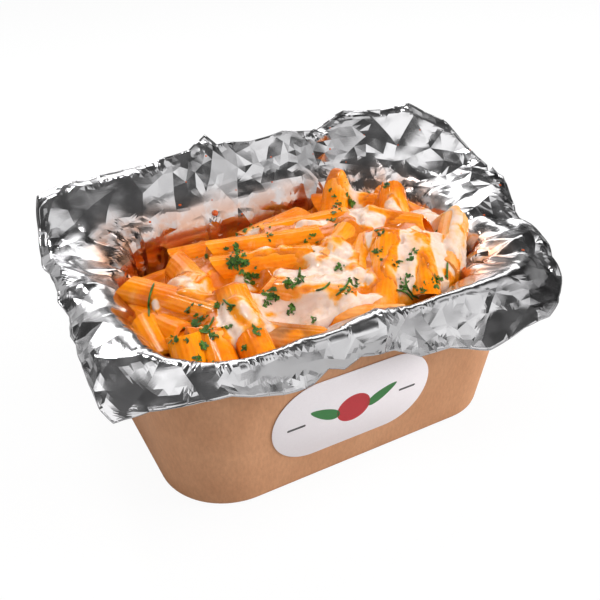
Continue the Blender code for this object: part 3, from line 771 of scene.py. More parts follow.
def add_large_creases(points, fixed, coarse_triangles):
    """Points along the sides of the coarse triangles, joined so that no facet crosses them."""
    corner_of, seen = {}, set()
    for ids, spot in coarse_triangles:
        for k in range(3):
            i, j = ids[k], ids[(k + 1) % 3]
            if (min(i, j), max(i, j)) in seen:
                continue
            seen.add((min(i, j), max(i, j)))
            a, b = spot[k], spot[(k + 1) % 3]
            count = max(2, round((b - a).length / CREASE_STEP))
            shares = np.arange(count + 1) / count
            s = a.x + (b.x - a.x) * shares
            t = a.y + (b.y - a.y) * shares
            keep = (t > WALL_FOOT) & (t < foil_edge(s) - EDGE_ROOM)
            chain = []
            for step in range(count + 1):
                corner = {0: i, count: j}.get(step)
                if not keep[step]:
                    chain.append(None)
                elif corner in corner_of:
                    chain.append(corner_of[corner])
                else:
                    if corner is not None:
                        corner_of[corner] = len(points)
                    chain.append(len(points))
                    points.append((float(s[step]) % ROUND, float(t[step])))
            fixed += [(p, q) for p, q in zip(chain, chain[1:]) if p is not None and q is not None]


def small_lifts(points, chain_start, chain_end, draw):
    """Random heights for the facets' corners: less along large creases and towards the food."""
    s, t = (np.array([p[k] for p in points]) for k in (0, 1))
    sizes = facet_size(s, t) * (0.015 + 0.19 * crinkled(s, t))
    small = [draw.uniform(-1, 1) * size for size in sizes]
    small = [size * min(max((t + 2) / 8, 0.12), 1) for size, (_, t) in zip(small, points)]
    for k in range(chain_start, chain_end):
        small[k] *= 0.5
    return small


def crumpled_places(s, t, lift, small):
    """The smooth foil pushed along its normal: creased outside, near the wall only outwards."""
    for along, outward, radius in FLATS:
        away = np.abs(s - along)
        away = np.hypot(np.minimum(away, ROUND - away), t - outward)
        share = smoothstep(0.75, 1.0, away / radius)
        lift, small = lift * share, small * share
    room = foil_edge(s) - t
    out = smoothstep(3, 14, t)
    low = smoothstep(-WALL_SPAN, -WALL_SPAN + 12, t)
    curl = (0.9 + 1.6 * ring_noise(s, t * 0, 30, 44)) * (1 - smoothstep(0, 7, room)) ** 2
    wave = 0.55 * ring_noise(s, t, 19, 45)
    height = (lift * COARSE_LIFT * (0.5 + 0.5 * smoothstep(0, 6, room)) + small + wave - curl * 1.6) * out
    height = height + ((0.5 + 0.5 * lift) * 3.8 + 0.8 * np.abs(small) + 0.2) * (1 - out) * low
    return foil_point(s, t) + foil_normal(s, t) * height[:, None]


def soften_lip(mesh, rolled):
    """Where the foil rolls over the tray's edge its facets run into each other."""
    for edge in mesh.edges:
        if all(rolled[v] > 0.5 for v in edge.vertices):
            edge.use_edge_sharp = False


def close_foot(mesh):
    """Drops loose points and closes the sheet across the tray's floor."""
    bm = bmesh.new()
    bm.from_mesh(mesh)
    bmesh.ops.delete(bm, geom=[v for v in bm.verts if not v.link_faces], context="VERTS")
    foot = [e for e in bm.edges if e.is_boundary and e.verts[0].co.z < FLOOR_HEIGHT * MM]
    bmesh.ops.contextual_create(bm, geom=foot)
    bmesh.ops.triangulate(bm, faces=[f for f in bm.faces if len(f.verts) > 4])
    bmesh.ops.recalc_face_normals(bm, faces=bm.faces)
    bm.to_mesh(mesh)
    bm.free()


def build_foil(material):
    draw = random.Random(23)
    coarse = scatter(
        5, lambda s, t: COARSE_SPACING + COARSE_SPREAD * ring_noise(s, t, 34, 15), COARSE_FOOT, COARSE_END)
    coarse_heights = [draw.uniform(-1, 1) for _ in coarse]
    coarse_triangles = wrapped_triangles(coarse, [], 60)

    marks, edge = rim_places()
    points = list(zip(marks.tolist(), edge.tolist()))
    fixed = closed_loop(range(len(points)))
    foot = range(len(points), len(points) + FOOT_POINTS)
    points += [(k * ROUND / FOOT_POINTS, -WALL_SPAN) for k in range(FOOT_POINTS)]
    fixed += closed_loop(foot)
    points += scatter(6, lambda s, t: WALL_SPACING + 0 * s, -WALL_SPAN + 7, WALL_FOOT - 4)
    chain_start = len(points)
    add_large_creases(points, fixed, coarse_triangles)
    chain_end = len(points)
    points += scatter(7, facet_size, WALL_FOOT, FINE_END, points, FINE_ROOM)
    kept = []
    for base, spot in wrapped_triangles(points, fixed, 40):
        s, t = (sum(v[k] for v in spot) / 3 for k in (0, 1))
        if t < np.interp(s % ROUND, marks, edge, period=ROUND) + 1e-6:
            kept.append((base, spot))

    small = small_lifts(points, chain_start, chain_end, draw)
    for _ in range(2):
        points, kept, small = split_once(points, kept, small, draw)
    s, t = np.array(points).T
    lift = facet_heights(points, coarse_triangles, coarse_heights)
    place = crumpled_places(s, t, lift, np.array(small))
    obj = new_object("foil_sheet", place * MM, [base for base, _ in kept], material)
    mesh = obj.data
    risen = smoothstep(15, 50, flare_at(s)[1])
    rolled = smoothstep(-9, -7, t) * (1 - smoothstep(3, 5, t)) * (1 - risen)
    # Orange on the foil: partly real sauce smear, partly painted reflection of the food, reaching further
    # out where the flare rises
    add_fields(mesh, rolled=rolled, smear=0.8 * (1 - smoothstep(-9, 2 + 13 * risen, t)))
    close_foot(mesh)
    mesh.shade_smooth()
    mesh.set_sharp_from_angle(angle=math.radians(CREASE_ANGLE))
    soften_lip(mesh, [item.value for item in mesh.attributes["rolled"].data])
    mesh.attributes.remove(mesh.attributes["rolled"])
    sheet = obj.modifiers.new("sheet", "SOLIDIFY")
    sheet.thickness = SHEET_THICKNESS * MM
    sheet.offset = 0
    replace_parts(obj, "foil_liner")
    return obj


# The heap: tubes, then the melted layer draped over them

def penne_frame(row):
    _, x, y, z, heading, climb, _, _, roll = row
    turn = Matrix.Rotation(math.radians(heading), 4, "Z") @ Matrix.Rotation(-math.radians(climb), 4, "Y")
    return Matrix.Translation((x, y, z)) @ turn @ Matrix.Rotation(math.radians(roll), 4, "X")


def inside_cavity(x, y, slack=0.0):
    """How far inside the liner a point is, in mm; negative is outside."""
    best = np.full(x.shape, 1e9)
    marks = np.arange(0, ROUND, 2.0)
    reach = flare_at(marks)[2]
    rim_x, rim_y, out_x, out_y = outline(marks, 62.0, -CAVITY_INSET - 0.9 * reach)
    for px, py, ox, oy in zip(rim_x, rim_y, out_x, out_y):
        best = np.minimum(best, (px - x) * ox + (py - y) * oy + slack)
    return best


def browned(x, y):
    """How toasted places are, from 0 to 1."""
    amount = np.zeros(np.shape(x))
    for spot_x, spot_y, radius in BROWNED:
        amount = np.maximum(amount, np.exp(-((x - spot_x) ** 2 + (y - spot_y) ** 2) / radius ** 2))
    return amount


def build_penne(material):
    draw = random.Random(31)
    points, faces = [], []
    turn = np.arange(RING_STEPS) / RING_STEPS * math.tau
    ridge = RIDGE_DEPTH * (np.cos(RIDGES * turn) - 1) / 2
    for row in PENNE:
        length, open_end = row[6] - END_SLACK, row[7]
        matrix = np.array(penne_frame(row))
        bend = draw.uniform(-TUBE_BEND, TUBE_BEND)
        squash = draw.uniform(TUBE_FLAT, 1.0)
        count = max(10, int(length / TUBE_STEP))
        rings = [(-length / 2 + length * step / count, PENNE_RADIUS + ridge) for step in range(count + 1)]
        for end in (-1, 1):
            bore = LONG_BORE if open_end == end else SHORT_BORE
            inner = [
                (end * (length / 2 - step), np.full(RING_STEPS, PENNE_BORE - 0.05 * step))
                for step in (0, 0.15, 1.0, bore)]
            rings = rings + inner if end == 1 else inner[::-1] + rings
        shape = []
        for at, radius in rings:
            z = radius * np.sin(turn) * squash
            x = at + z * math.tan(PENNE_SLANT)
            shape.append(np.stack([x, radius * np.cos(turn), z + bend * x * x], 1))
        world = np.concatenate(shape) @ matrix[:3, :3].T + matrix[:3, 3]
        wobble = np.stack([value_noise(world, WOBBLE_SIZE, 41 + k) for k in range(3)], 1)
        world = world + wobble * TUBE_WOBBLE
        faces += tube_faces(len(points), RING_STEPS, len(rings))
        points.extend(world * MM)
    points = np.array(points)
    obj = new_object("penne_tubes", points, faces, material, sharp_angle=50)
    spots = points / MM
    toast = browned(spots[:, 0], spots[:, 1]) * 0.8 * smoothstep(-0.6, 0.3, value_noise(spots, 5, 8))
    add_fields(obj.data, toast=toast, film=cheese_amount(spots)[0] * smoothstep(64, 72, spots[:, 2]))
    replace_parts(obj, "penne_heap")
    return obj


def cheese_amount(spots):
    """How much cheese lies at these places and how thick it is, from 0 to 1, seen from above."""
    flat = spots * np.array([1.0, 1.0, 0.0])
    x = spots[:, 0] + 3.0 * value_noise(flat, 11, 60)
    y = spots[:, 1] + 3.0 * value_noise(flat, 11, 61)
    blob = np.zeros(len(spots))
    for cx, cy, long_half, wide_half, heading, weight in CHEESE:
        c, s = math.cos(math.radians(heading)), math.sin(math.radians(heading))
        u = ((x - cx) * c + (y - cy) * s) / long_half
        v = (-(x - cx) * s + (y - cy) * c) / wide_half
        blob = np.maximum(blob, weight * (1.35 - np.sqrt(u * u + v * v)))
    blob = blob + 0.34 * fbm(flat, 7, 4, 70)
    return smoothstep(0.18, 0.60, blob), smoothstep(0.95, 1.45, blob)


# Half length and half width of the draped layer's grid, and the distance between its points
GRID_HALF, GRID_STEP = (80, 56), 0.55
# How wide gaps sauce and cheese close, how far sauce sinks between tubes, the layer's underside
SAUCE_CLOSING, CHEESE_CLOSING, SAUCE_SINK, MELT_FOOT = 5.5, 7.0, 1.3, 44


def drape_fields():
    """Heights of the tubes' tops over a grid, with the core below them."""
    xs, ys = (np.arange(-half, half + 0.01, GRID_STEP) for half in GRID_HALF)
    gx, gy = np.meshgrid(xs, ys, indexing="ij")
    weights = np.full(gx.shape, 1e-3)
    total = np.full(gx.shape, BED_HEIGHT * 1e-3)
    top = np.full(gx.shape, -1e3)
    for row in PENNE:
        _, x, y, z, heading, climb, length, _, roll = row
        flat = math.cos(math.radians(climb))
        d = np.array([
            flat * math.cos(math.radians(heading)), flat * math.sin(math.radians(heading)),
            math.sin(math.radians(climb))])
        for step in (-0.35, 0, 0.35):
            spot = np.array([x, y, z]) + d * length * step
            weight = np.exp(-((spot[0] - gx) ** 2 + (spot[1] - gy) ** 2) / (2 * BED_SPREAD ** 2))
            total += weight * spot[2]
            weights += weight
        side = np.array([-d[1], d[0]]) / flat
        along = ((gx - x) * d[0] + (gy - y) * d[1]) / flat ** 2
        across = (gx - x) * side[0] + (gy - y) * side[1]
        rise = np.sqrt(np.clip(PENNE_RADIUS ** 2 - across ** 2, 0, None))
        height = z + along * d[2] + rise / flat
        roll = math.radians(roll)
        slant = (rise * math.cos(roll) - across * math.sin(roll)) * math.tan(PENNE_SLANT)
        reach = (length - END_SLACK) / 2 + 0.6
        ok = (np.abs(across) < PENNE_RADIUS) & (np.abs(along - slant - rise * d[2]) < reach)
        top = np.where(ok, np.maximum(top, height), top)
    core = total / weights - BED_DROP
    spots = np.stack([gx.ravel(), gy.ravel(), 0 * gx.ravel()], 1)
    core = core + 1.6 * fbm(spots, 9, 3, 5).reshape(gx.shape)
    for x, y, radius, high in LUMPS:
        core = np.maximum(core, high - 9 * ((gx - x) ** 2 + (gy - y) ** 2) / radius ** 2)
    return gx, gy, core, np.maximum(top, core)


def shift_all(field, dx, dy):
    return np.roll(np.roll(field, dx, 0), dy, 1)


def dilate(field, radius):
    cells = int(round(radius / GRID_STEP))
    result = field.copy()
    for dx in range(-cells, cells + 1):
        span = int(math.sqrt(max(cells * cells - dx * dx, 0)))
        for dy in range(-span, span + 1):
            result = np.maximum(result, shift_all(field, dx, dy))
    return result


def blur(field, sigma):
    cells = int(round(3 * sigma / GRID_STEP))
    kernel = np.exp(-0.5 * (np.arange(-cells, cells + 1) * GRID_STEP / sigma) ** 2)
    kernel /= kernel.sum()
    for axis in (0, 1):
        total = 0
        for k, weight in zip(range(-cells, cells + 1), kernel):
            total = total + weight * np.roll(field, k, axis)
        field = total
    return field


def clear_open_ends(gx, gy, height):
    """The layer lowered in front of the tubes whose open ends show."""
    for row in PENNE:
        _, x, y, z, heading, climb, length, open_end, _ = row
        if not open_end:
            continue
        flat = math.cos(math.radians(climb)) * open_end
        side = (math.cos(math.radians(heading)) * flat, math.sin(math.radians(heading)) * flat)
        reach = (length - END_SLACK) / 2
        along = (gx - x) * side[0] + (gy - y) * side[1]
        across = np.abs((gy - y) * side[0] - (gx - x) * side[1])
        rim = z + reach * math.sin(math.radians(climb)) * open_end
        near = smoothstep(reach - 5, reach - 2, along) * (1 - smoothstep(reach + 6, reach + 9, along))
        near = near * (1 - smoothstep(4.5, 7.0, across))
        height = height * (1 - near) + np.minimum(height, rim - 4.5) * near
    return height


def close_melt(mesh):
    """Drops loose points and gives the layer side walls and a flat underside inside the heap."""
    bm = bmesh.new()
    bm.from_mesh(mesh)
    bmesh.ops.delete(bm, geom=[v for v in bm.verts if not v.link_faces], context="VERTS")
    rim = [e for e in bm.edges if e.is_boundary]
    made = bmesh.ops.extrude_edge_only(bm, edges=rim)["geom"]
    for v in made:
        if isinstance(v, bmesh.types.BMVert):
            v.co.z = MELT_FOOT * MM
    bmesh.ops.holes_fill(bm, edges=[e for e in bm.edges if e.is_boundary], sides=0)
    bmesh.ops.recalc_face_normals(bm, faces=bm.faces)
    bm.to_mesh(mesh)
    bm.free()
    mesh.shade_smooth()


def build_melt(material):
    gx, gy, core, top = drape_fields()
    spots = np.stack([gx.ravel(), gy.ravel(), 0 * gx.ravel()], 1)

    def rough(size, octaves, seed):
        return fbm(spots, size, octaves, seed).reshape(gx.shape)

    closed, broad = (-dilate(-dilate(top, radius), radius) for radius in (SAUCE_CLOSING, CHEESE_CLOSING))
    sauce = np.maximum(blur(closed, 0.9) - SAUCE_SINK + 0.5 * rough(6, 2, 72), core)
    mask, strong = (field.reshape(gx.shape) for field in cheese_amount(spots))
    lumps = 0.8 * rough(5.5, 3, 80) + 0.5 * rough(12, 2, 81)
    cheese = blur(np.maximum(broad, top), 2.0) + 0.2 + lumps
    cheese = np.maximum(cheese, blur(top, 1.2) + 0.35 + 0.4 * lumps + 0.7 * strong)
    soft = blur(mask, 1.1)
    height = np.maximum(sauce, top - SAUCE_SINK + soft * (cheese - top + SAUCE_SINK))
    height = clear_open_ends(gx, gy, blur(height, 0.35))

    thin = height - blur(top, 0.4)
    thick = smoothstep(-0.6, 2.0, thin) * smoothstep(0.1, 0.75, mask)
    slope = np.hypot(*np.gradient(blur(height, 0.8), GRID_STEP))
    steep = smoothstep(0.9, 2.2, slope)
    thick = np.clip(thick + 0.15 * mask, 0, 1) * (1 - steep) + blur(0.8 * mask, 1.5) * steep
    thick = np.maximum(thick, 0.95 * strong)
    toast = np.clip(browned(gx, gy) * (0.7 + 0.6 * rough(3, 3, 90)), 0, 1)
    height = height + toast * 0.9 * rough(1.8, 2, 95)

    keep = inside_cavity(gx.ravel(), gy.ravel()).reshape(gx.shape) > 0
    ids = -np.ones(gx.shape, int)
    ids[keep] = np.arange(keep.sum())
    points = np.stack([gx[keep], gy[keep], height[keep]], 1)
    a, b, c, d = ids[:-1, :-1], ids[1:, :-1], ids[1:, 1:], ids[:-1, 1:]
    ok = (a >= 0) & (b >= 0) & (c >= 0) & (d >= 0)
    faces = np.stack([a[ok], b[ok], c[ok], d[ok]], 1).tolist()
    obj = new_object("melted_cheese", points * MM, faces, material)
    add_fields(obj.data, thick=thick[keep], toast=toast[keep])
    close_melt(obj.data)
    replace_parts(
        obj, "melted_cheese_middle", "melted_cheese_right", "melted_cheese_column", "melted_cheese_back",
        "melted_cheese_left")
    return obj


# Tray, sticker, parsley and drops

def ring_mesh(name, rings, material):
    """A closed solid lofted through rings of the same count."""
    faces = tube_faces(0, len(rings[0]), len(rings))
    obj = new_object(name, np.concatenate(rings) * MM, faces, material, sharp_angle=40)
    turn_faces_out(obj.data)
    return obj


def tray_ring(height, outset, lift=None):
    marks = np.linspace(0, ROUND, 180, endpoint=False)
    x, y, _, _ = outline(marks, float(height), outset)
    return np.stack([x, y, np.full_like(x, height if lift is None else lift)], 1)


def build_tray(material):
    foot = ((0, -3.2), (0, -1.6), (0.2, -0.7), (0.8, -0.15), (1.8, 0))
    rings = [tray_ring(height, outset) for height, outset in foot]
    rings += [tray_ring(height, 0) for height in (2.6, 6, 18, 34, 50, BEAD_HEIGHT - BEAD_RADIUS)]
    for turn in range(-60, 121, 20):
        out, up = BEAD_RADIUS * math.cos(math.radians(turn)), BEAD_RADIUS * math.sin(math.radians(turn))
        rings.append(tray_ring(BEAD_HEIGHT, out, BEAD_HEIGHT + up))
    rings += [tray_ring(BEAD_HEIGHT - BEAD_RADIUS, -PAPER), tray_ring(PAPER, -PAPER)]
    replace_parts(ring_mesh("kraft_bowl", rings, material), "kraft_tray")


def wall_point(x, up, out):
    """A place on the front wall: x along it, up its slope, and out of it."""
    lean = math.atan2(TRAY_TAPER, TRAY_HEIGHT)
    y = -(TRAY_WIDTH / 2 - TRAY_TAPER) - up * math.sin(lean) - out * math.cos(lean)
    return x, y, up * math.cos(lean) - out * math.sin(lean)


def stadium(width, height, steps=40):
    radius = height / 2
    straight = width / 2 - radius
    turns = [math.radians(-90 + 180 * k / steps) for k in range(steps + 1)]
    right = [(straight + radius * math.cos(a), radius * math.sin(a)) for a in turns]
    return right + [(-x, -y) for x, y in right]


def on_wall(shape, out):
    """A flat outline laid on the front wall, with its middle in the label's middle."""
    return np.array([wall_point(STICKER_X + x, STICKER_UP + y, out) for x, y in shape])


def build_sticker(material):
    rings = [
        on_wall(stadium(STICKER_WIDTH - 2 * inset, STICKER_HEIGHT - 2 * inset), out)
        for inset, out in ((0.0, GAP), (0.0, GAP + 0.14), (0.08, GAP + 0.2))]
    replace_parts(ring_mesh("round_label", rings, material), "front_sticker")


def label_patch(name, shape, material):
    """A flat printed shape on the sticker, from its outline in the sticker's own plane."""
    rings = [on_wall(shape, out) for out in (GAP + 0.19, GAP + 0.215)]
    ring_mesh("label_" + name, rings, material)


# The printed design: half sizes of tomato and leaf, the lines' size, and their places across
TOMATO_HALF, LEAF_HALF, LINE_SIZE = (7.6, 7.0), (7.5, 2.5), (8, 1.1)
LEAF_PLACE, LEAF_TILT, LINE_PLACE = 13, math.radians(28), 25.5


def build_print():
    """A plain printed design: a tomato between two leaves, and a thin line on either side."""
    green = ink_material("ink_green", (0.03, 0.20, 0.045))
    red = ink_material("ink_red", (0.52, 0.02, 0.03))
    grey = ink_material("ink_grey", (0.07, 0.065, 0.065))
    turns = [math.tau * k / 48 for k in range(48)]
    cos_tilt, sin_tilt = math.cos(LEAF_TILT), math.sin(LEAF_TILT)
    wide, high = TOMATO_HALF
    label_patch("tomato", [(wide * math.cos(a), -1 + high * math.sin(a)) for a in turns], red)
    for side, word in ((-1, "left"), (1, "right")):
        leaf = []
        for a in turns:
            u, v = LEAF_HALF[0] * math.cos(a), LEAF_HALF[1] * math.sin(a) * (1 - 0.35 * math.cos(a))
            leaf.append((side * (LEAF_PLACE + u * cos_tilt - v * sin_tilt), 1 + u * sin_tilt + v * cos_tilt))
        label_patch("leaf_" + word, leaf[::side], green)
        bar = [(side * LINE_PLACE + x, -1 + y) for x, y in stadium(*LINE_SIZE, 12)]
        label_patch("line_" + word, bar, grey)


# Parsley as the camera sees it: place in the frame, how many flakes, spread in pixels
PARSLEY = (
    (238, 262, 46, 6), (252, 276, 26, 5), (234, 251, 7, 5), (275, 293, 24, 6), (269, 303, 11, 4),
    (290, 283, 13, 4), (299, 280, 9, 3), (290, 312, 10, 4), (314, 320, 7, 3), (347, 290, 12, 5),
    (353, 283, 9, 4), (341, 268, 9, 4), (408, 286, 12, 5), (422, 290, 12, 5), (437, 280, 16, 5),
    (412, 256, 6, 4), (337, 208, 13, 6), (331, 222, 7, 5), (348, 200, 7, 4), (378, 231, 8, 4),
    (190, 306, 4, 3), (217, 305, 9, 3), (201, 318, 10, 4), (192, 324, 7, 3), (198, 360, 14, 4),
    (211, 365, 10, 4), (204, 345, 7, 3), (185, 338, 5, 5), (225, 325, 4, 4), (256, 332, 5, 4),
    (268, 235, 5, 4), (380, 252, 7, 4), (212, 335, 9, 4), (232, 307, 3, 3), (170, 345, 4, 6),
    (310, 245, 5, 9), (395, 265, 4, 5), (245, 348, 4, 4),
)
# Longer strands in the frame: start, end and sideways bow
STRANDS = (
    (154, 284, 149, 317, 2), (316, 291, 330, 283, 2), (447, 263, 447, 280, 0.5), (300, 267, 304, 283, 2),
    (396, 290, 412, 300, -3), (336, 296, 350, 278, 2), (224, 300, 236, 306, 2), (405, 278, 418, 298, 4),
    (206, 330, 214, 318, 1),
)
STRAND_SIDES, STRAND_RADIUS = 6, 0.42
# Parsley that only shows from behind and above: middle x, y in mm, flakes, spread in mm
PARSLEY_BEHIND = ((-8, 32, 8, 9), (44, 38, 8, 9), (-40, 22, 5, 8), (62, 22, 5, 7), (70, -8, 4, 6))


def leaf_on(points, faces, draw, spot, normal):
    """One torn bit of leaf lying on a surface: a few pointed lobes that fan out from one place."""
    normal = (normal + Vector([draw.uniform(-0.5, 0.5) for _ in range(3)])).normalized()
    lean = normal.to_track_quat("Z", "Y").to_matrix() @ Matrix.Rotation(draw.uniform(0, math.tau), 3, "Z")
    size = draw.choice((0.55, 0.8, 1.0, 1.3, 1.8))
    fan = draw.uniform(0.5, 0.95)
    count = draw.choice((1, 2, 3, 3, 4))
    for lobe in range(count):
        length = size * draw.uniform(0.8, 1.5)
        width = length * draw.uniform(0.28, 0.48)
        turn = (lobe - (count - 1) / 2) * fan + draw.uniform(-0.2, 0.2)
        bend, twist = draw.uniform(-0.35, 0.5), draw.uniform(-0.4, 0.4)
        ring = [(-0.1, -0.15), (0.4, -0.9), (0.6, -0.55), (0.85, -0.75), (1.1, draw.uniform(-0.3, 0.3)),
                (0.8, 0.8), (0.65, 0.5), (0.3, 0.85), (-0.1, 0.15)]
        start = len(points)
        for side in (0.09, -0.09):
            for along, across in ring:
                u, v = along * length, across * width
                lift = bend * u * u / length + twist * u * v / length + side + 0.3 + 0.04 * lobe
                place = Vector((
                    u * math.cos(turn) - v * math.sin(turn), u * math.sin(turn) + v * math.cos(turn), lift))
                points.append(spot + lean @ (place * MM))
        n = len(ring)
        faces.append([start + k for k in range(n)])
        faces.append([start + n + k for k in reversed(range(n))])
        for k in range(n):
            j = (k + 1) % n
            faces.append((start + k, start + n + k, start + n + j, start + j))


def strand_on(points, faces, line):
    """A thin round stem through the given places."""
    last = len(line) - 1
    faces += tube_faces(len(points), STRAND_SIDES, len(line))
    for index, centre in enumerate(line):
        ahead = (line[min(index + 1, last)] - line[max(index - 1, 0)]).normalized()
        side = ahead.cross(Vector((0, 0, 1))).normalized()
        up = side.cross(ahead)
        thin = STRAND_RADIUS * MM * (0.6 if index in (0, last) else 1)
        for k in range(STRAND_SIDES):
            angle = math.tau * k / STRAND_SIDES
            points.append(centre + (side * math.cos(angle) + up * math.sin(angle)) * thin)


def build_parsley(trees, foil_tree, material):
    draw = random.Random(77)
    points, faces = [], []
    origin = Vector(CAMERA_PLACE) * MM

    def nearest(start, way):
        hits = [hit for hit in (tree.ray_cast(start, way) for tree in trees) if hit[0]]
        if not hits:
            return None
        best = min(hits, key=lambda hit: hit[3])
        screen = foil_tree.ray_cast(start, way)
        return None if screen[0] and screen[3] < best[3] else best

    def seen(u, v):
        return nearest(origin, sight(u, v))

    for u, v, count, spread in PARSLEY:
        for _ in range(count):
            hit = seen(draw.gauss(u, spread * 0.75), draw.gauss(v, spread * 0.65))
            if hit and hit[1].z > 0.1:
                leaf_on(points, faces, draw, hit[0], hit[1])
    for x, y, count, spread in PARSLEY_BEHIND:
        for _ in range(count):
            start = Vector((draw.gauss(x, spread / 2), draw.gauss(y, spread / 2), 200)) * MM
            hit = nearest(start, Vector((0, 0, -1)))
            if hit and hit[1].z > 0.25:
                leaf_on(points, faces, draw, hit[0], hit[1])
    for u0, v0, u1, v1, bow in STRANDS:
        line = []
        length = math.hypot(u1 - u0, v1 - v0)
        for step in range(10):
            share = step / 9
            side = bow * math.sin(math.pi * share)
            hit = seen(u0 + (u1 - u0) * share - (v1 - v0) / length * side,
                       v0 + (v1 - v0) * share + (u1 - u0) / length * side)
            if hit:
                line.append(hit[0] + hit[1] * 0.45 * MM)
        if len(line) > 4:
            strand_on(points, faces, line)
    obj = new_object("parsley_bits", points, faces, material, sharp_angle=60)
    turn_faces_out(obj.data)


def camera_axes():
    """The camera's directions to the right, up and back, away from the part."""
    azimuth, elevation, roll = (math.radians(v) for v in (CAMERA_AZIMUTH, CAMERA_ELEVATION, CAMERA_ROLL))
    level = math.cos(elevation)
    back = Vector((math.sin(azimuth) * level, -math.cos(azimuth) * level, math.sin(elevation)))
    right = (-back).cross(Vector((0, 0, 1))).normalized()
    up = right.cross(-back)
    return math.cos(roll) * right + math.sin(roll) * up, -math.sin(roll) * right + math.cos(roll) * up, back


def sight(u, v):
    """The camera's ray through a place in the frame, in a frame of 600 by 600."""
    right, up, back = camera_axes()
    half = FRAME_PIXELS / 2
    return (right * (u - half) + up * (half - v) - back * FOCAL_PIXELS).normalized()


# Drops of sauce that show on the foil: place in the frame and radius
DROPS = (
    (215, 213, 1.5), (330, 149, 0.5), (313, 154, 0.4), (271, 157, 0.4), (500, 185, 0.7), (461, 173, 0.4),
    (544, 216, 0.7), (206, 156, 0.4), (212, 200, 0.4), (242, 214, 0.5), (272, 182, 0.4), (420, 130, 0.4),
    (288, 320, 0.6), (150, 222, 0.5), (330, 128, 0.4), (398, 145, 0.35), (470, 150, 0.4), (186, 182, 0.4),
    (346, 162, 0.35), (364, 135, 0.35), (523, 250, 0.5), (484, 215, 0.5), (180, 205, 0.6), (236, 190, 0.35),
)


DROP_STEPS = 10
# A drop's rings from its foot up: share of its radius, height as a share of it
DROP_LEVELS = ((1.0, -0.1), (1.0, 0.1), (0.8, 0.32), (0.45, 0.46))


def build_drops(foil_tree, material):
    points, faces = [], []
    origin = Vector(CAMERA_PLACE) * MM
    draw = random.Random(9)
    for u, v, radius in DROPS:
        way = sight(u, v)
        hit = foil_tree.ray_cast(origin, way)
        if not hit[0]:
            continue
        normal = hit[1] if hit[1].dot(way) < 0 else -hit[1]
        lean = normal.to_track_quat("Z", "Y").to_matrix()
        stretch = draw.uniform(0.8, 1.4)
        faces += tube_faces(len(points), DROP_STEPS, len(DROP_LEVELS))
        for wide, high in DROP_LEVELS:
            for k in range(DROP_STEPS):
                angle = math.tau * k / DROP_STEPS
                spot = Vector((wide * math.cos(angle) * stretch, wide * math.sin(angle), high)) * radius * MM
                points.append(hit[0] + lean @ spot)
    new_object("sauce_spots", points, faces, material)


# Camera, light and floor

def build_camera():
    data = bpy.data.cameras.new("camera")
    data.sensor_width = SENSOR
    data.lens = FOCAL_PIXELS / FRAME_PIXELS * SENSOR
    data.clip_start, data.clip_end = 0.01, 20
    obj = bpy.data.objects.new("camera", data)
    bpy.context.scene.collection.objects.link(obj)
    right, up, back = camera_axes()
    matrix = Matrix.Identity(4)
    for column, axis in enumerate((right, up, back)):
        matrix.col[column].xyz = axis
    matrix.translation = Vector(CAMERA_PLACE) * MM
    obj.matrix_world = matrix
    bpy.context.scene.camera = obj


# Lights in metres: name, place, height aimed at, size, watts, whether the foil mirrors them
KEY_PLACE, KEY_SIZE = (1.30, -0.62, 0.76), (1.27, 1.13)
TOP_PLACE, TOP_SIZE = (-0.15, -0.15, 1.0), (0.5, 0.4)
LIGHTS = (
    ("key_soft_box", KEY_PLACE, 0.05, KEY_SIZE, 17.5, False),
    ("key_shine", KEY_PLACE, 0.05, KEY_SIZE, 12.0, True),
    ("top_soft_box", TOP_PLACE, 0.05, TOP_SIZE, 1.0, False),
    ("top_shine", TOP_PLACE, 0.05, TOP_SIZE, 2.2, True),
    ("back_soft_box", (0.28, 0.72, 0.60), 0.05, (1.1, 0.36), 2.6, True),
    ("small_box", (-0.12, 0.40, 0.85), 0.05, (0.12, 0.12), 1.2, True),
    ("left_strip", (-0.8, 0.0, 0.4), 0.06, (0.2, 0.6), 0.7, True),
)
# The side from which the room is brightest
BRIGHT_SIDE = (-0.50, -0.35, 0.79)
FLOOR_HALF, FLOOR_SINK = 6.0, 0.0002


def area_light(name, place, aim, size, watts, mirrored):
    data = bpy.data.lights.new(name, "AREA")
    data.shape = "RECTANGLE"
    data.size, data.size_y = size
    data.energy = watts
    obj = bpy.data.objects.new(name, data)
    bpy.context.scene.collection.objects.link(obj)
    obj.visible_glossy = mirrored
    obj.location = place
    obj.rotation_euler = (Vector((0, 0, aim)) - Vector(place)).to_track_quat("-Z", "Y").to_euler()


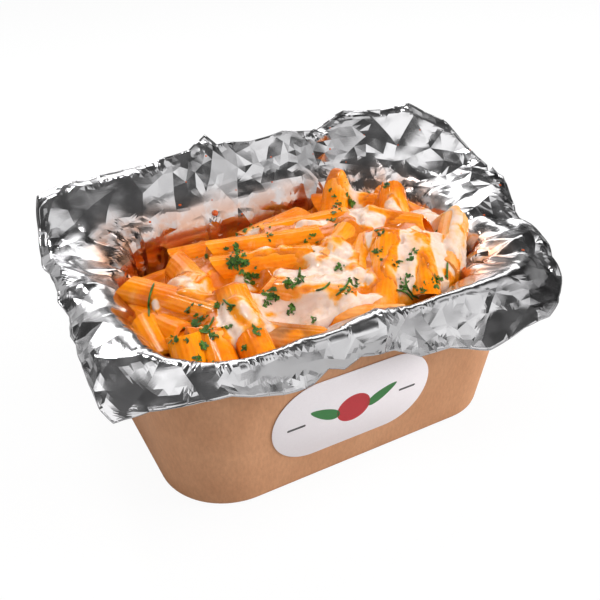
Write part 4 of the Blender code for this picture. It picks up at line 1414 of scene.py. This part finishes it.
def build_light():
    """A room with a bright side and soft patches for the foil to mirror, white to the camera."""
    world = bpy.data.worlds.new("studio")
    n = Nodes(world, "Generated")
    facing = n.add("ShaderNodeVectorMath", operation="DOT_PRODUCT")
    facing.inputs[1].default_value = BRIGHT_SIDE
    n.link(n.place, facing.inputs[0])
    front = n.span(facing.outputs["Value"], -0.5, 0.9, 0.07, 0.80, "LINEAR")
    patches = n.span(n.noise(1.5, 1.0, 0.5), 0.43, 0.56, 0.08, 1.9, "LINEAR")
    straight = n.add("ShaderNodeLightPath").outputs["Is Camera Ray"]
    colour = n.mix(straight, n.math("MULTIPLY", front, patches), (1, 1, 1))
    n.link(colour, n.tree.nodes["Background"].inputs["Color"])
    bpy.context.scene.world = world
    for row in LIGHTS:
        area_light(*row)
    view = bpy.context.scene.view_settings
    view.view_transform = "Standard"
    view.look = "None"


def build_floor():
    """A floor that is grey to the part and nearly white to the camera."""
    n = surface("pale_floor")
    material = n.finish((0.6, 0.6, 0.6), 0.9)
    glow = n.add("ShaderNodeEmission")
    glow.inputs["Color"].default_value = (1, 1, 1, 1)
    glow.inputs["Strength"].default_value = 1.04
    straight = n.add("ShaderNodeLightPath").outputs["Is Camera Ray"]
    blend = n.add("ShaderNodeMixShader")
    n.link(n.math("MULTIPLY", straight, 0.9), blend.inputs[0])
    n.link(n.tree.nodes["Principled BSDF"].outputs[0], blend.inputs[1])
    n.link(glow.outputs[0], blend.inputs[2])
    n.link(blend.outputs[0], n.tree.nodes["Material Output"].inputs["Surface"])
    corners = [(FLOOR_HALF * x, FLOOR_HALF * y, 0) for x, y in ((-1, -1), (1, -1), (1, 1), (-1, 1))]
    mesh = bpy.data.meshes.new("floor")
    mesh.from_pydata(corners, [], [(0, 1, 2, 3)])
    mesh.materials.append(material)
    obj = bpy.data.objects.new("floor", mesh)
    bpy.context.scene.collection.objects.link(obj)
    obj.location.z = -FLOOR_SINK


def main():
    build_tray(kraft_material())
    build_sticker(sticker_material())
    build_print()
    foil = build_foil(foil_material())
    penne = build_penne(penne_material())
    melt = build_melt(melt_material())
    build_parsley([tree_of(penne), tree_of(melt)], tree_of(foil), parsley_material())
    build_drops(tree_of(foil), sauce_material())
    build_camera()
    build_light()
    build_floor()


main()
